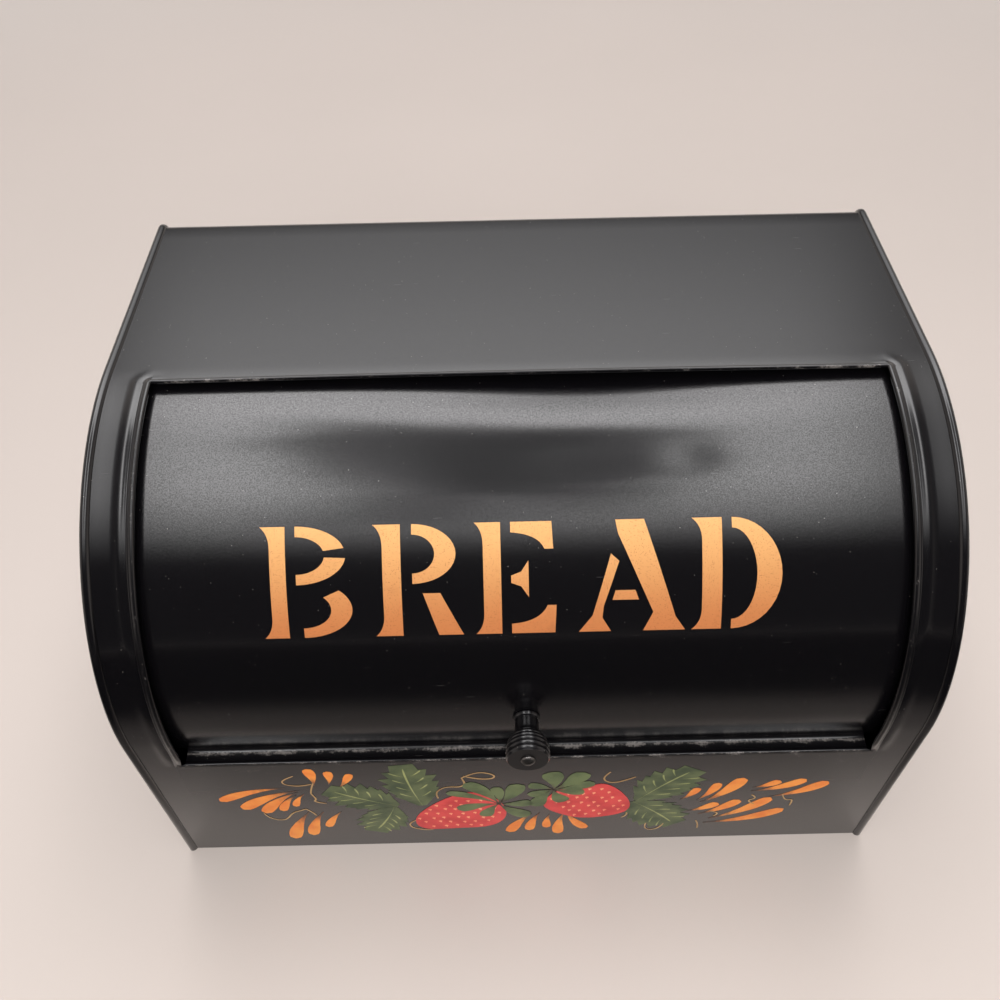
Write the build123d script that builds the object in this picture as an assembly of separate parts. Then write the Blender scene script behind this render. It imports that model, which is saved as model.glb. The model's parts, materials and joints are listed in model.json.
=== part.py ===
from build123d import *
import os
from math import acos, asin, atan2, cos, degrees, hypot, pi, radians, sin, sqrt, tan

# Roll-top bread box of black painted sheet steel, in millimetres.
# +X runs to the right end, +Y to the back and +Z up.
# The origin lies on the table, midway between the ends and between the front of the curve and the back.

# Outside of the box, over the rims of the end panels
box_width = 350.0
box_depth = 229.0
box_height = 235.0
rim_radius = 114.5
back_corner_radius = 8.0
front_lean = 2.5
sheet = 0.5
seam_clearance = 0.03

# Rims where the end panels are rolled over the edge of the body sheet
rim_width = 3.2
rim_rise = 1.6
rim_bevel = 0.9
rim_cap = 0.8
end_recess = 3.5

# Front opening with its hemmed edge
strip_width = 21.5
sill_below_top = 138.6
opening_top_angle = 85.5
opening_corner_radius = 2.0
hem_width = 3.0
hem_rise = 1.0
hem_bevel = 0.2
relief_width = 3.0
relief_height = 6.0
sill_hem_height = 5.0

# Back panel with its stepped lap and its two groups of vent holes
back_flange = 18.0
lap_height = 9.0
vent_diameter = 5.0
vent_pitch = 14.0
vent_steps = 1
vent_group_spacing = 150.0
vent_height = 150.0

# Bottom tray
tray_edge = 2.8

# Pivots
shank_diameter = 5.0
running_clearance = 0.08
side_play = 0.3
rivet_head_diameter = 10.0
rivet_head_height = 2.2
rivet_end_diameter = 7.6
rivet_end_height = 1.3
rivet_top_share = 0.62
spacer_diameter = 13.0
side_gap = 3.5
burr_diameter = 10.5
burr_thickness = 0.8

# Door
door_recess = 5.4
door_rear_angle = 97.0
door_side_clearance = 0.7
lip_rest_gap = 0.3
lip_overhang = 0.3
lip_hem_width = 2.6
lip_rounding_share = 0.9
fold_radius = 2.0
lip_root_length = 6.0
rear_hem_width = 4.0
wing_hub_radius = 12.0
wing_flange = 6.0

# Knob turned in one piece, and the screw that holds it
knob_angle = 2.2
knob_length = 20.4
knob_diameter = 18.8
knob_collar_diameter = 11.8
knob_collar_length = 1.6
knob_collar_bevel = 0.6
knob_neck_diameter = 10.4
knob_shoulder = 8.6
knob_shoulder_diameter = 12.6
knob_rib_count = 5
knob_groove_depth = 0.6
knob_rib_crest_share = 0.6
knob_bell_share = 0.62
screw_diameter = 3.9
screw_hole_clearance = 0.15
screw_head_diameter = 6.2
screw_head_height = 2.6
screw_top_share = 0.6
screw_tail = 1.6
washer_diameter = 9.0
washer_thickness = 0.8
nut_width = 7.0
nut_height = 2.8

# Places that follow from the sizes above
half_width = box_width / 2
front_y = -box_depth / 2
pivot_y = front_y + rim_radius
pivot_z = box_height - rim_radius
body_radius = rim_radius - rim_rise
body_back_y = box_depth / 2 - rim_rise
body_top_z = box_height - rim_rise
body_corner_radius = back_corner_radius - rim_rise
plate_outer_x = half_width - end_recess
plate_inner_x = plate_outer_x - sheet
wrapper_half = half_width - rim_cap
opening_half = half_width - strip_width
flange_end_z = body_top_z - body_corner_radius - back_flange
door_radius = body_radius - door_recess
door_inner_radius = door_radius - sheet
door_half = plate_inner_x - side_gap
wing_inner_x = door_half - sheet
sill_height = box_height - sill_below_top
lip_top_z = sill_height + lip_rest_gap + 2 * sheet
lip_half = opening_half - door_side_clearance
hem_half = door_half - wing_flange - door_side_clearance
knob_hole = screw_diameter + 2 * screw_hole_clearance


def polar(radius, angle):
    """Point in the YZ plane at an angle above the front horizontal through the pivot."""
    return (pivot_y - radius * cos(radians(angle)), pivot_z + radius * sin(radians(angle)))


def door_front_y(radius, height):
    """Y at which a circle about the pivot crosses a height in front of the pivot."""
    return pivot_y - sqrt(radius**2 - (height - pivot_z) ** 2)


def front_line_y(height, inset):
    """Y of the leaning lower front at a height, at a distance inside its outer face."""
    foot_y, foot_z = polar(body_radius - inset, -front_lean)
    return foot_y + (foot_z - height) * tan(radians(front_lean))


def body_outline(inset, floor):
    """Side outline at a distance inside the body sheet's outer face, down to a floor height."""
    radius = body_radius - inset
    corner = body_corner_radius - inset
    corner_y = body_back_y - body_corner_radius
    corner_z = body_top_z - body_corner_radius
    foot = polar(radius, -front_lean)
    crown = (pivot_y, body_top_z - inset)
    corner_start = (corner_y, body_top_z - inset)
    corner_middle = (corner_y + corner * sin(radians(45)), corner_z + corner * cos(radians(45)))
    corner_end = (body_back_y - inset, corner_z)
    lower_front = (front_line_y(floor, inset), floor)
    lower_back = (body_back_y - inset, floor)
    return [
        Line(lower_front, foot),
        ThreePointArc(foot, polar(radius, (90 - front_lean) / 2), crown),
        Line(crown, corner_start),
        ThreePointArc(corner_start, corner_middle, corner_end),
        Line(corner_end, lower_back),
        Line(lower_back, lower_front),
    ]


def along_x(outline, start, end):
    """Solid from a YZ outline between two X positions."""
    region = Plane.YZ * make_face(outline)
    return Pos(start, 0, 0) * extrude(region, amount=end - start, dir=(1, 0, 0))


def body_prism(inset, floor, start, end):
    """Solid with the body's side outline between two X positions."""
    return along_x(body_outline(inset, floor), start, end)


def body_band(outer, inner, start, end):
    """Sheet along the body outline between two distances, open at the bottom."""
    return body_prism(outer, 0, start, end) - body_prism(inner, -rim_width, start, end)


def arc_band(outer_radius, inner_radius, low, high, start, end):
    """Curved sheet about the pivot between two angles and two X positions."""
    middle = (low + high) / 2
    outline = [
        ThreePointArc(polar(outer_radius, low), polar(outer_radius, middle), polar(outer_radius, high)),
        Line(polar(outer_radius, high), polar(inner_radius, high)),
        ThreePointArc(polar(inner_radius, high), polar(inner_radius, middle), polar(inner_radius, low)),
        Line(polar(inner_radius, low), polar(outer_radius, low)),
    ]
    return along_x(outline, start, end)


def pivot_disc(diameter, start, end):
    """Disc about the pivot axis between two X positions."""
    disc = Cylinder(diameter / 2, end - start, align=(Align.CENTER, Align.CENTER, Align.MIN))
    return Pos(start, pivot_y, pivot_z) * Rot(0, 90, 0) * disc


lip_end_y = front_line_y(lip_top_z - sheet, 0) - lip_overhang
door_low_angle = degrees(asin((lip_top_z - sheet - pivot_z) / door_radius))
seat_sag = door_inner_radius - sqrt(door_inner_radius**2 - (washer_diameter / 2) ** 2)
knob_plane = Plane(
    origin=(0, *polar(door_radius, knob_angle)),
    x_dir=(1, 0, 0),
    z_dir=(0, -cos(radians(knob_angle)), sin(radians(knob_angle))),
)


def left_of(shape):
    """The same piece for the left end."""
    return mirror(shape, about=Plane.YZ)


def window(half, top_angle, corner_radius):
    """Block over the front opening, from the sill to an angle on the curve, with round top corners."""
    reach = 2 * body_radius
    outline = Polyline(
        (pivot_y, pivot_z),
        polar(reach, top_angle),
        (pivot_y - reach, pivot_z + reach),
        (pivot_y - reach, sill_height),
        (pivot_y, sill_height),
        close=True,
    )
    block = along_x(outline, -half, half)
    ray = Axis((0, 0, 0), (0, -cos(radians(top_angle)), sin(radians(top_angle))))
    return fillet(block.edges().filter_by(ray), corner_radius)


def relief():
    """Wedge that widens the opening at its lower corners, where the hem is cut back."""
    outline = Polyline(
        (-opening_half - relief_width, sill_height),
        (opening_half + relief_width, sill_height),
        (opening_half, sill_height + relief_height),
        (-opening_half, sill_height + relief_height),
        close=True,
    )
    return Pos(0, front_y / 2, 0) * extrude(Plane.XZ * make_face(outline), amount=box_depth)


def height_above_front(point):
    """Distance of a point outside the curve or the lower front."""
    y = point.Y - pivot_y
    z = point.Z - pivot_z
    if atan2(z, -y) > -radians(front_lean):
        return hypot(y, z) - body_radius
    return -y * cos(radians(front_lean)) - z * sin(radians(front_lean)) - body_radius


def opening_hem():
    """Edge of the opening folded back over the outside, along the top and both sides."""
    hem_angle = opening_top_angle + degrees(hem_width / body_radius)
    frame = window(opening_half + hem_width, hem_angle, opening_corner_radius + hem_width)
    opening = window(opening_half, opening_top_angle, opening_corner_radius)
    layer = body_prism(-hem_rise, sill_height, -wrapper_half, wrapper_half)
    core = body_prism(0, 0, -wrapper_half, wrapper_half)
    hem = (layer & frame) - core - opening - relief()
    long_edges = [
        edge
        for edge in hem.edges()
        if edge.length > hem_width + hem_rise
        and abs(height_above_front(edge.position_at(0)) - hem_rise) < hem_bevel / 4
        and abs(height_above_front(edge.position_at(0.5)) - hem_rise) < hem_bevel / 4
    ]
    return chamfer(long_edges, hem_bevel)


def body_wrapper():
    """One sheet that makes the lower front, the curve with its opening, the top and the rear flange."""
    shell = body_band(0, sheet, -wrapper_half, wrapper_half)
    below_flange = Pos(0, body_back_y, flange_end_z / 2) * Box(box_width, 4 * sheet, flange_end_z)
    opening = window(opening_half, opening_top_angle, opening_corner_radius)
    sill_half = opening_half + relief_width
    inner_layer = body_band(sheet, 2 * sheet, -sill_half, sill_half)
    sill_strip = Box(box_width, body_radius / 4, sill_hem_height)
    sill_strip = Pos(0, front_y, sill_height - sill_hem_height / 2) * sill_strip
    return shell - below_flange - opening - relief() + opening_hem() + (inner_layer & sill_strip)


def vent_holes():
    """Two diamond groups of small holes through the back."""
    hole = Rot(90, 0, 0) * Cylinder(vent_diameter / 2, 8 * sheet)
    holes = []
    for group_x in (-vent_group_spacing / 2, vent_group_spacing / 2):
        for row in range(-vent_steps, vent_steps + 1):
            for column in range(abs(row) - vent_steps, vent_steps + 1 - abs(row), 2):
                x = group_x + column * vent_pitch / 2
                holes.append(Pos(x, body_back_y, vent_height + row * vent_pitch / 2) * hole)
    return holes


def back_panel():
    """Flat back whose upper edge steps inward behind the rear flange, with its vent holes."""
    top = flange_end_z - seam_clearance
    main = Pos(0, body_back_y - sheet / 2, top / 2) * Box(2 * wrapper_half, sheet, top)
    lap_width = 2 * (plate_inner_x - seam_clearance)
    lap_y = body_back_y - 1.5 * sheet - seam_clearance
    lap = Pos(0, lap_y, top - 2 * sheet + lap_height / 2) * Box(lap_width, sheet, lap_height)
    step_depth = 2 * sheet + seam_clearance
    step = Pos(0, body_back_y - step_depth / 2, top - sheet) * Box(lap_width, step_depth, 2 * sheet)
    return main + step + lap - vent_holes()


def bottom_tray():
    """Flat bottom whose edge is turned up inside the front, back and ends."""
    reach = plate_inner_x - seam_clearance
    outer = body_prism(sheet + seam_clearance, 0, -reach, reach)
    inner = body_prism(2 * sheet + seam_clearance, sheet, -reach + sheet, reach - sheet)
    slab = Pos(0, 0, tray_edge / 2) * Box(2 * box_width, 2 * box_depth, tray_edge)
    return (outer - inner) & slab


def end_panel():
    """Recessed right end plate whose edge turns outward and rolls over the body sheet as a rim."""
    inner = sheet + seam_clearance
    plate = body_prism(inner, 0, plate_inner_x, half_width)
    recess = body_prism(inner + sheet, sheet, plate_outer_x, half_width + sheet)
    cap = body_band(-seam_clearance, inner, wrapper_half + seam_clearance, half_width)
    bead = body_prism(-rim_rise, -4 * rim_rise, half_width - rim_width, half_width)
    bead = chamfer(bead.faces().sort_by(Axis.X)[-1].edges(), rim_bevel)
    bead = bead - body_prism(-seam_clearance, -8 * rim_rise, 0, box_width)
    bead = bead - Pos(0, 0, -box_height / 2) * Box(2 * box_width, 2 * box_depth, box_height)
    return plate - recess + cap + bead - pivot_disc(shank_diameter, 0, box_width)


def pivot_rivet():
    """Right pivot rivet with its round head outside and its spread end inside."""
    burr_inner_x = wing_inner_x - side_play - burr_thickness
    shank = pivot_disc(shank_diameter, burr_inner_x, plate_outer_x)
    head = Cone(
        rivet_head_diameter / 2,
        rivet_top_share * rivet_head_diameter / 2,
        rivet_head_height,
        align=(Align.CENTER, Align.CENTER, Align.MIN),
    )
    head = Pos(plate_outer_x, pivot_y, pivot_z) * Rot(0, 90, 0) * head
    spread = pivot_disc(rivet_end_diameter, burr_inner_x - rivet_end_height, burr_inner_x)
    return shank + head + spread


def spacer_washer():
    """Thick washer that keeps the right wing away from the end plate."""
    washer = pivot_disc(spacer_diameter, door_half + side_play, plate_inner_x)
    return washer - pivot_disc(shank_diameter, 0, box_width)


def burr_washer():
    """Thin washer under the spread end of the right rivet."""
    outer_x = wing_inner_x - side_play
    washer = pivot_disc(burr_diameter, outer_x - burr_thickness, outer_x)
    return washer - pivot_disc(shank_diameter, 0, box_width)


def along_knob(diameter, start, end):
    """Round bar on the knob's axis between two distances from the door's outer face."""
    bar = Cylinder(diameter / 2, end - start, align=(Align.CENTER, Align.CENTER, Align.MIN))
    return knob_plane * Pos(0, 0, start) * bar


def door_lip():
    """Lower edge of the door folded outward in a round fold, with a hem that lies on the sill."""
    join_angle = door_low_angle + degrees(lip_root_length / door_radius)
    skin_end = polar(door_radius, join_angle)
    inner_end = polar(door_inner_radius, join_angle)
    lip_bottom = lip_top_z - sheet
    fold_top = (door_front_y(door_radius, lip_top_z), lip_top_z)
    fold_bottom = (door_front_y(door_inner_radius, lip_bottom), lip_bottom)
    outline = [
        Line((lip_end_y, lip_top_z), fold_top),
        RadiusArc(fold_top, skin_end, door_radius),
        Line(skin_end, inner_end),
        RadiusArc(inner_end, fold_bottom, -door_inner_radius),
        Line(fold_bottom, (lip_end_y, lip_bottom)),
        Line((lip_end_y, lip_bottom), (lip_end_y, lip_top_z)),
    ]
    section = make_face(outline)
    fold = section.vertices().sort_by_distance(fold_top)[0]
    section = fillet(fold, fold_radius)
    lip = Pos(-lip_half, 0, 0) * extrude(Plane.YZ * section, amount=2 * lip_half, dir=(1, 0, 0))
    hem = Box(2 * lip_half, lip_hem_width, sheet)
    lip = lip + Pos(0, lip_end_y + lip_hem_width / 2, lip_bottom - sheet / 2) * hem
    outer = lip.edges().filter_by(Axis.X).sort_by(Axis.Y)[:2]
    return fillet(outer, lip_rounding_share * sheet)


def door_sheet():
    """Curved door sheet with its lip, a hem along the rear edge and the knob's screw hole."""
    skin = arc_band(door_radius, door_inner_radius, door_low_angle, door_rear_angle, -door_half, door_half)
    hem_start = door_rear_angle - degrees(rear_hem_width / door_radius)
    hem_inner_radius = door_inner_radius - sheet
    rear_hem = arc_band(door_inner_radius, hem_inner_radius, hem_start, door_rear_angle, -hem_half, hem_half)
    return skin + rear_hem + door_lip() - along_knob(knob_hole, -4 * sheet, 4 * sheet)


def door_wing():
    """Right side of the door: a sector plate from the pivot, with a curved flange inside the door sheet."""
    radius = door_inner_radius - seam_clearance
    low = door_low_angle
    high = door_rear_angle
    low_tangent = low - degrees(acos(wing_hub_radius / radius))
    high_tangent = high + degrees(acos(wing_hub_radius / radius))
    hub_middle = (low_tangent + 360 + high_tangent) / 2
    outline = [
        ThreePointArc(polar(radius, low), polar(radius, (low + high) / 2), polar(radius, high)),
        Line(polar(radius, high), polar(wing_hub_radius, high_tangent)),
        ThreePointArc(
            polar(wing_hub_radius, high_tangent),
            polar(wing_hub_radius, hub_middle),
            polar(wing_hub_radius, low_tangent),
        ),
        Line(polar(wing_hub_radius, low_tangent), polar(radius, low)),
    ]
    plate = along_x(outline, wing_inner_x, door_half)
    flange_end = high - degrees(2 * rear_hem_width / door_radius)
    flange = arc_band(radius, radius - sheet, low, flange_end, door_half - wing_flange, door_half)
    bore = shank_diameter + 2 * running_clearance
    return plate + flange - pivot_disc(bore, 0, box_width)


def knob_envelope(distance):
    """Radius of the knob's bell over its ribs at a distance from the door."""
    share = (distance - knob_shoulder) / (knob_length - knob_shoulder)
    swell = sin(pi / 2 * min(1, share / knob_bell_share))
    return knob_shoulder_diameter / 2 + (knob_diameter - knob_shoulder_diameter) / 2 * swell


def door_knob():
    """Turned knob: collar, neck and a bell with fine ribs that ends in a flat face."""
    bore = knob_hole / 2
    neck = knob_neck_diameter / 2
    collar = knob_collar_diameter / 2
    points = [
        (bore, 0),
        (collar, 0),
        (collar, knob_collar_length),
        (neck, knob_collar_length + knob_collar_bevel),
        (neck, knob_shoulder - knob_groove_depth),
    ]
    pitch = (knob_length - knob_shoulder) / knob_rib_count
    for rib in range(knob_rib_count):
        start = knob_shoulder + rib * pitch
        crest = start + knob_rib_crest_share * pitch
        points.append((knob_envelope(start) - knob_groove_depth, start))
        points.append((knob_envelope(crest), crest))
    points.append((knob_diameter / 2 - knob_groove_depth, knob_length))
    points.append((bore, knob_length))
    profile = make_face(Polyline(*points, close=True))
    return knob_plane * revolve(Plane.XZ * profile, axis=Axis.Z)


def knob_screw():
    """Round-headed screw through the knob and the door."""
    tail = -sheet - seat_sag - washer_thickness - nut_height - screw_tail
    shank = along_knob(screw_diameter, tail, knob_length)
    head = Cone(
        screw_head_diameter / 2,
        screw_top_share * screw_head_diameter / 2,
        screw_head_height,
        align=(Align.CENTER, Align.CENTER, Align.MIN),
    )
    return shank + knob_plane * Pos(0, 0, knob_length) * head


def knob_washer():
    """Flat washer inside the door."""
    outer = -sheet - seat_sag
    washer = along_knob(washer_diameter, outer - washer_thickness, outer)
    return washer - along_knob(knob_hole, -knob_length, 0)


def knob_nut():
    """Hexagon nut on the end of the screw."""
    outer = -sheet - seat_sag - washer_thickness
    hexagon = extrude(RegularPolygon(nut_width / 2, 6, major_radius=False), amount=nut_height)
    nut = knob_plane * Pos(0, 0, outer - nut_height) * hexagon
    return nut - along_knob(screw_diameter, -knob_length, 0)


pieces = {
    "body_wrapper": body_wrapper(),
    "back_panel": back_panel(),
    "bottom_tray": bottom_tray(),
    "right_end_panel": end_panel(),
    "left_end_panel": left_of(end_panel()),
    "right_pivot_rivet": pivot_rivet(),
    "left_pivot_rivet": left_of(pivot_rivet()),
    "right_spacer_washer": spacer_washer(),
    "left_spacer_washer": left_of(spacer_washer()),
    "right_burr_washer": burr_washer(),
    "left_burr_washer": left_of(burr_washer()),
    "door_sheet": door_sheet(),
    "right_door_wing": door_wing(),
    "left_door_wing": left_of(door_wing()),
    "door_knob": door_knob(),
    "knob_screw": knob_screw(),
    "knob_washer": knob_washer(),
    "knob_nut": knob_nut(),
}

os.makedirs("parts", exist_ok=True)
for name, piece in pieces.items():
    export_step(piece, "parts/" + name + ".step")
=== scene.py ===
import bmesh
import bpy
import json
from math import asin, atan2, ceil, copysign, cos, exp, hypot, pi, radians, sin, sqrt, tan
from mathutils import Matrix, Vector


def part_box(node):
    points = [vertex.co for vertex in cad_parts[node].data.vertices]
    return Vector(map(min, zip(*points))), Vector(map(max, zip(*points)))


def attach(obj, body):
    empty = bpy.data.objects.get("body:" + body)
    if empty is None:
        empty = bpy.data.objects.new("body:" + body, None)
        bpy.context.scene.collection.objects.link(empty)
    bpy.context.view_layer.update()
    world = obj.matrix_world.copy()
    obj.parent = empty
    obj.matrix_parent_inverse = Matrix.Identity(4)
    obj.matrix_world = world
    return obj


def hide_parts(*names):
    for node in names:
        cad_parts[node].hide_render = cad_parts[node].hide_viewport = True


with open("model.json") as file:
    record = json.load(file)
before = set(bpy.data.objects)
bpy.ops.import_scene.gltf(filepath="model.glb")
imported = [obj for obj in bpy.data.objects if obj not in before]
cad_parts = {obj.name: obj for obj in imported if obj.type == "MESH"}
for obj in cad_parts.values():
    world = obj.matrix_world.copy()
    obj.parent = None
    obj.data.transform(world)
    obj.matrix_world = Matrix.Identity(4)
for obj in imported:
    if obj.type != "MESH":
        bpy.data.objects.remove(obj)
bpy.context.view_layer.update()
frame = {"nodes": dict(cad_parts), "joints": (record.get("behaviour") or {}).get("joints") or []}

# Sizes of the box, in metres, in the frame of the solids
mm = 0.001
tiny = 0.01 * mm
hinge = frame["joints"][0]
pivot_y = hinge["pos_m"][1]
pivot_z = hinge["pos_m"][2]
sheet = 0.5 * mm
body_radius = 112.9 * mm
front_lean = radians(2.5)
body_corner_radius = 6.4 * mm
flange_end_z = 209 * mm
wrapper_half = 174.2 * mm
plate_outer_x = 171.5 * mm
rim_outer_x = 174.9 * mm
rim_middle_x = 173 * mm
rim_inset = 1.03 * mm
opening_half = 153.5 * mm
opening_top_angle = radians(85.5)
opening_bow = 0.8 * mm
opening_bow_reach = 60 * mm
opening_columns = 48
sill_height = 96.4 * mm
hem_rise_length = 9 * mm
hem_flat_x = 168 * mm
bead_width = 2.1 * mm
bead_height_share = 0.8
bead_narrowing = 1.5
sheet_sharp_angle = radians(50)
body_back_y = 112.9 * mm
relief_width = 1.2 * mm
relief_height = 6 * mm
relief_reach = 10 * mm
door_radius = 107.5 * mm
door_half = 167.5 * mm
door_rear_angle = radians(97)
rolled_sheet = 0.96 * sheet
door_rear_swell = 1.7 * mm
door_swell_angles = (radians(52), radians(86))
lip_top_z = 97.7 * mm
lip_half = 152.8 * mm
lip_end_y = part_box("door_sheet")[0].y
lip_hem_width = 2.6 * mm
fold_radius = 2 * mm
door_tuck = 0.9 * mm
door_tuck_angles = (radians(-9.6), radians(6))
lip_roll = 0.65 * mm
lip_edge_rise = 0.2 * mm
lip_edge_slope = 0.8 * mm
rear_hem_width = 4 * mm
rear_hem_half = 160.8 * mm
skin_step = 2.5 * mm
column_room = 0.4 * mm
outline_step = 2.4 * mm
knob_angle = radians(2.2)
knob_length = 20.4 * mm

# The side outline as lengths above the foot of its round front, and the heights of its two ends
curve_length = body_radius * (pi / 2 + front_lean)
top_end = curve_length + body_back_y - body_corner_radius - pivot_y
back_start = top_end + body_corner_radius * pi / 2
back_start_z = pivot_z + body_radius - body_corner_radius
curve_foot_z = pivot_z - body_radius * sin(front_lean)
floor_along = -curve_foot_z / cos(front_lean)
sill_along = (sill_height - curve_foot_z) / cos(front_lean)
opening_top_along = body_radius * (opening_top_angle + front_lean)

# Pale wear along the edges, which also paints the highlight lines of the hems, folds and rims: the most
# of it, and how far from the edge it reaches
hem_wear_and_highlight_most = 0.68
hem_wear_and_highlight_rise = 1.1 * mm
hem_wear_and_highlight_beside = 4 * mm
hem_wear_and_highlight_below = 5 * mm
hem_wear_and_highlight_back_y = 12 * mm
top_wear_and_highlight_most = 0.94
top_wear_and_highlight_reach = 3.2 * mm
top_wear_and_highlight_depth = 0.6 * mm
fold_wear_and_highlight_most = 0.98
fold_wear_and_highlight_reach = 3.2 * mm
lip_wear_and_highlight_most = 0.95
lip_wear_and_highlight_reach = 1.8 * mm
rim_wear_and_highlight_most = 0.7
rim_wear_and_highlight_reach = 2 * mm

# Camera at the photograph's viewing angle
camera_place = Vector((-9.7, -328.8, 507.46)) * mm
camera_yaw = radians(0.093)
camera_pitch = radians(47.691)
camera_roll = radians(1.227)
camera_lens = 36.108

# Arch of light over the box: its size and strength, where it fades, and its weaker patch
arch_radius = 3.0
arch_half = 1.5
arch_radiance = 5.1
arch_edge_fall = 0.75
arch_edge_places = (0.9, 2.1)
arch_steps = 40
arch_side_fade = 0.035
arch_side_slope = 0.3
arch_patch_sides = (-0.92, -0.45, 0.42, 0.72)
arch_patch_angles = (radians(56), radians(68), radians(97), radians(112))
arch_patch_depth = 0.92
arch_patch_bend = 0.6
arch_patch_shift = 1.2
arch_front_fade = (radians(38), radians(75))
arch_back_fade = (radians(20), radians(70))

# Soft lamp in front, dark card on the floor before the box, floor and room
fill_place = (0, -1.0, 1.0)
fill_target = (0, -0.3, 0)
fill_size = 0.6
fill_radiance = 11.5
card_half = 2
card_far_y = -4.0
card_near_y = -0.11
card_height = 0.002
floor_half = 6
floor_fade = (0.75, 1.6)
room_behind = (0.1, 0.6)
room_beside = (0.5, 0.85)

# Each step of the card's darkness: how far in front of y = 0 it starts and ends, and its share
card_steps = ((0.11, 0.17, 0.76), (0.2, 0.3, 0.24))

# Paint on the door and on the lower front
letter_foot = 52 * mm
letter_height = 46 * mm
paint_lift = 0.06 * mm
paint_thickness = 0.05 * mm
paint_step = 2.5 * mm
flare_rise = 9.0
flare_bend = 3.0
bowl_end_weight = 4.2
bowl_steps = 20
brush_shape = ((0.25, 0.3), (0.5, 0.72), (0.78, 1.0), (0.94, 0.8))

# Dents of the door: place across, place along the curve from the pivot's height, half sizes, depth
door_dents = (
    (28 * mm, 158 * mm, 74 * mm, 13 * mm, 2.6 * mm),
    (22 * mm, 122 * mm, 30 * mm, 7 * mm, 0.75 * mm),
    (-20 * mm, 112 * mm, 34 * mm, 7 * mm, -0.4 * mm),
    (68 * mm, 123 * mm, 12 * mm, 6 * mm, 0.4 * mm),
    (-62 * mm, 128 * mm, 26 * mm, 12 * mm, 0.2 * mm),
)


def srgb(red, green, blue):
    """Linear colour of three display values from 0 to 255."""
    linear = []
    for value in (red, green, blue):
        share = value / 255
        if share <= 0.04045:
            linear.append(share / 12.92)
        else:
            linear.append(((share + 0.055) / 1.055) ** 2.4)
    return (*linear, 1)


backdrop_colour = srgb(214, 205, 199)


def polar(radius, angle):
    """Point in the YZ plane at an angle above the horizontal in front of the pivot."""
    return (pivot_y - radius * cos(angle), pivot_z + radius * sin(angle))


def dent_depth(x, along):
    """How far the door's sheet is pressed in at a place."""
    depth = 0
    for middle, height, half_x, half_s, deep in door_dents:
        depth += deep * exp(-(((x - middle) / half_x) ** 2) - ((along - height) / half_s) ** 2)
    return depth


def smooth(value, low, high):
    """0 at low, 1 at high, smooth between them."""
    share = min(1.0, max(0.0, (value - low) / (high - low)))
    return share * share * (3 - 2 * share)


def door_swell(angle):
    """How far the door's sheet stands out towards its rear edge and is drawn in above its lip."""
    lowest, highest = door_tuck_angles
    tuck = max(0.0, (highest - angle) / (highest - lowest))
    return door_rear_swell * smooth(angle, *door_swell_angles) - door_tuck * min(1.0, tuck * tuck)


def door_point(x, along, lift=0.0):
    """Place on the door's outer face, from the length along the curve above the pivot's height."""
    angle = along / door_radius
    y, z = polar(door_radius + door_swell(angle) - dent_depth(x, along) + lift, angle)
    return Vector((x, y, z))


def front_point(x, height, lift=0.0):
    """Place on the leaning lower front of the box."""
    foot_y, foot_z = polar(body_radius, -front_lean)
    y = foot_y + (foot_z - height) * tan(front_lean)
    return Vector((x, y - lift * cos(front_lean), height - lift * sin(front_lean)))


def linked(name, data):
    """New object in the scene."""
    made = bpy.data.objects.new(name, data)
    bpy.context.scene.collection.objects.link(made)
    return made


def mesh_object(name, points, faces):
    """New mesh object in the scene."""
    mesh = bpy.data.meshes.new(name)
    mesh.from_pydata(points, [], faces)
    mesh.update()
    return linked(name, mesh)


def grid_faces(rows, wide, first=0, wanted=None):
    """Faces between rows of points, where they are wanted."""
    faces = []
    for row in range(rows - 1):
        for column in range(wide - 1):
            if wanted is None or wanted(row, column):
                corner = first + row * wide + column
                faces.append((corner, corner + 1, corner + 1 + wide, corner + wide))
    return faces


def plain_piece(made):
    """The object with its modifiers turned into plain mesh."""
    bpy.context.view_layer.update()
    graph = bpy.context.evaluated_depsgraph_get()
    mesh = bpy.data.meshes.new_from_object(made.evaluated_get(graph))
    name = made.name
    bpy.data.objects.remove(made)
    mesh.name = name
    return linked(name, mesh)


def settled(made, sharp_angle=radians(40)):
    """The object as plain mesh, smooth but for its sharp edges."""
    final = plain_piece(made)
    for face in final.data.polygons:
        face.use_smooth = True
    final.data.set_sharp_from_angle(angle=sharp_angle)
    return final


def solid_sheet(made, thickness, offset=-1.0):
    """Gives an open surface its thickness."""
    solid = made.modifiers.new("thickness", "SOLIDIFY")
    solid.thickness = thickness
    solid.offset = offset


def finished(made, body, slot, material, *nodes):
    """Gives a piece its material, its body and the solids that it stands for."""
    made.data.materials.clear()
    made.data.materials.append(material)
    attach(made, body)
    if nodes:
        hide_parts(*nodes)


def feed(tree, socket, value):
    """Links an input to a socket, or sets it to a plain value."""
    if isinstance(value, bpy.types.NodeSocket):
        tree.links.new(value, socket)
    else:
        socket.default_value = value


def set_node(tree, node, **inputs):
    """Feeds a node's named inputs; an underscore stands for a space."""
    for name, value in inputs.items():
        feed(tree, node.inputs[name.replace("_", " ")], value)


def new_node(tree, kind, settings=None, **inputs):
    """New node with its settings and its inputs."""
    node = tree.nodes.new(kind)
    for name, value in (settings or {}).items():
        setattr(node, name, value)
    set_node(tree, node, **inputs)
    return node


def shader_group(name, inputs, outputs):
    """Empty shader group with named float sockets: the group, what it is given and its results."""
    group = bpy.data.node_groups.new(name, "ShaderNodeTree")
    for socket_name, value in inputs:
        socket = group.interface.new_socket(socket_name, in_out="INPUT", socket_type="NodeSocketFloat")
        socket.default_value = value
    for socket_name in outputs:
        group.interface.new_socket(socket_name, in_out="OUTPUT", socket_type="NodeSocketFloat")
    start = group.nodes.new("NodeGroupInput")
    end = group.nodes.new("NodeGroupOutput")
    return group, start.outputs, end.inputs


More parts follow.
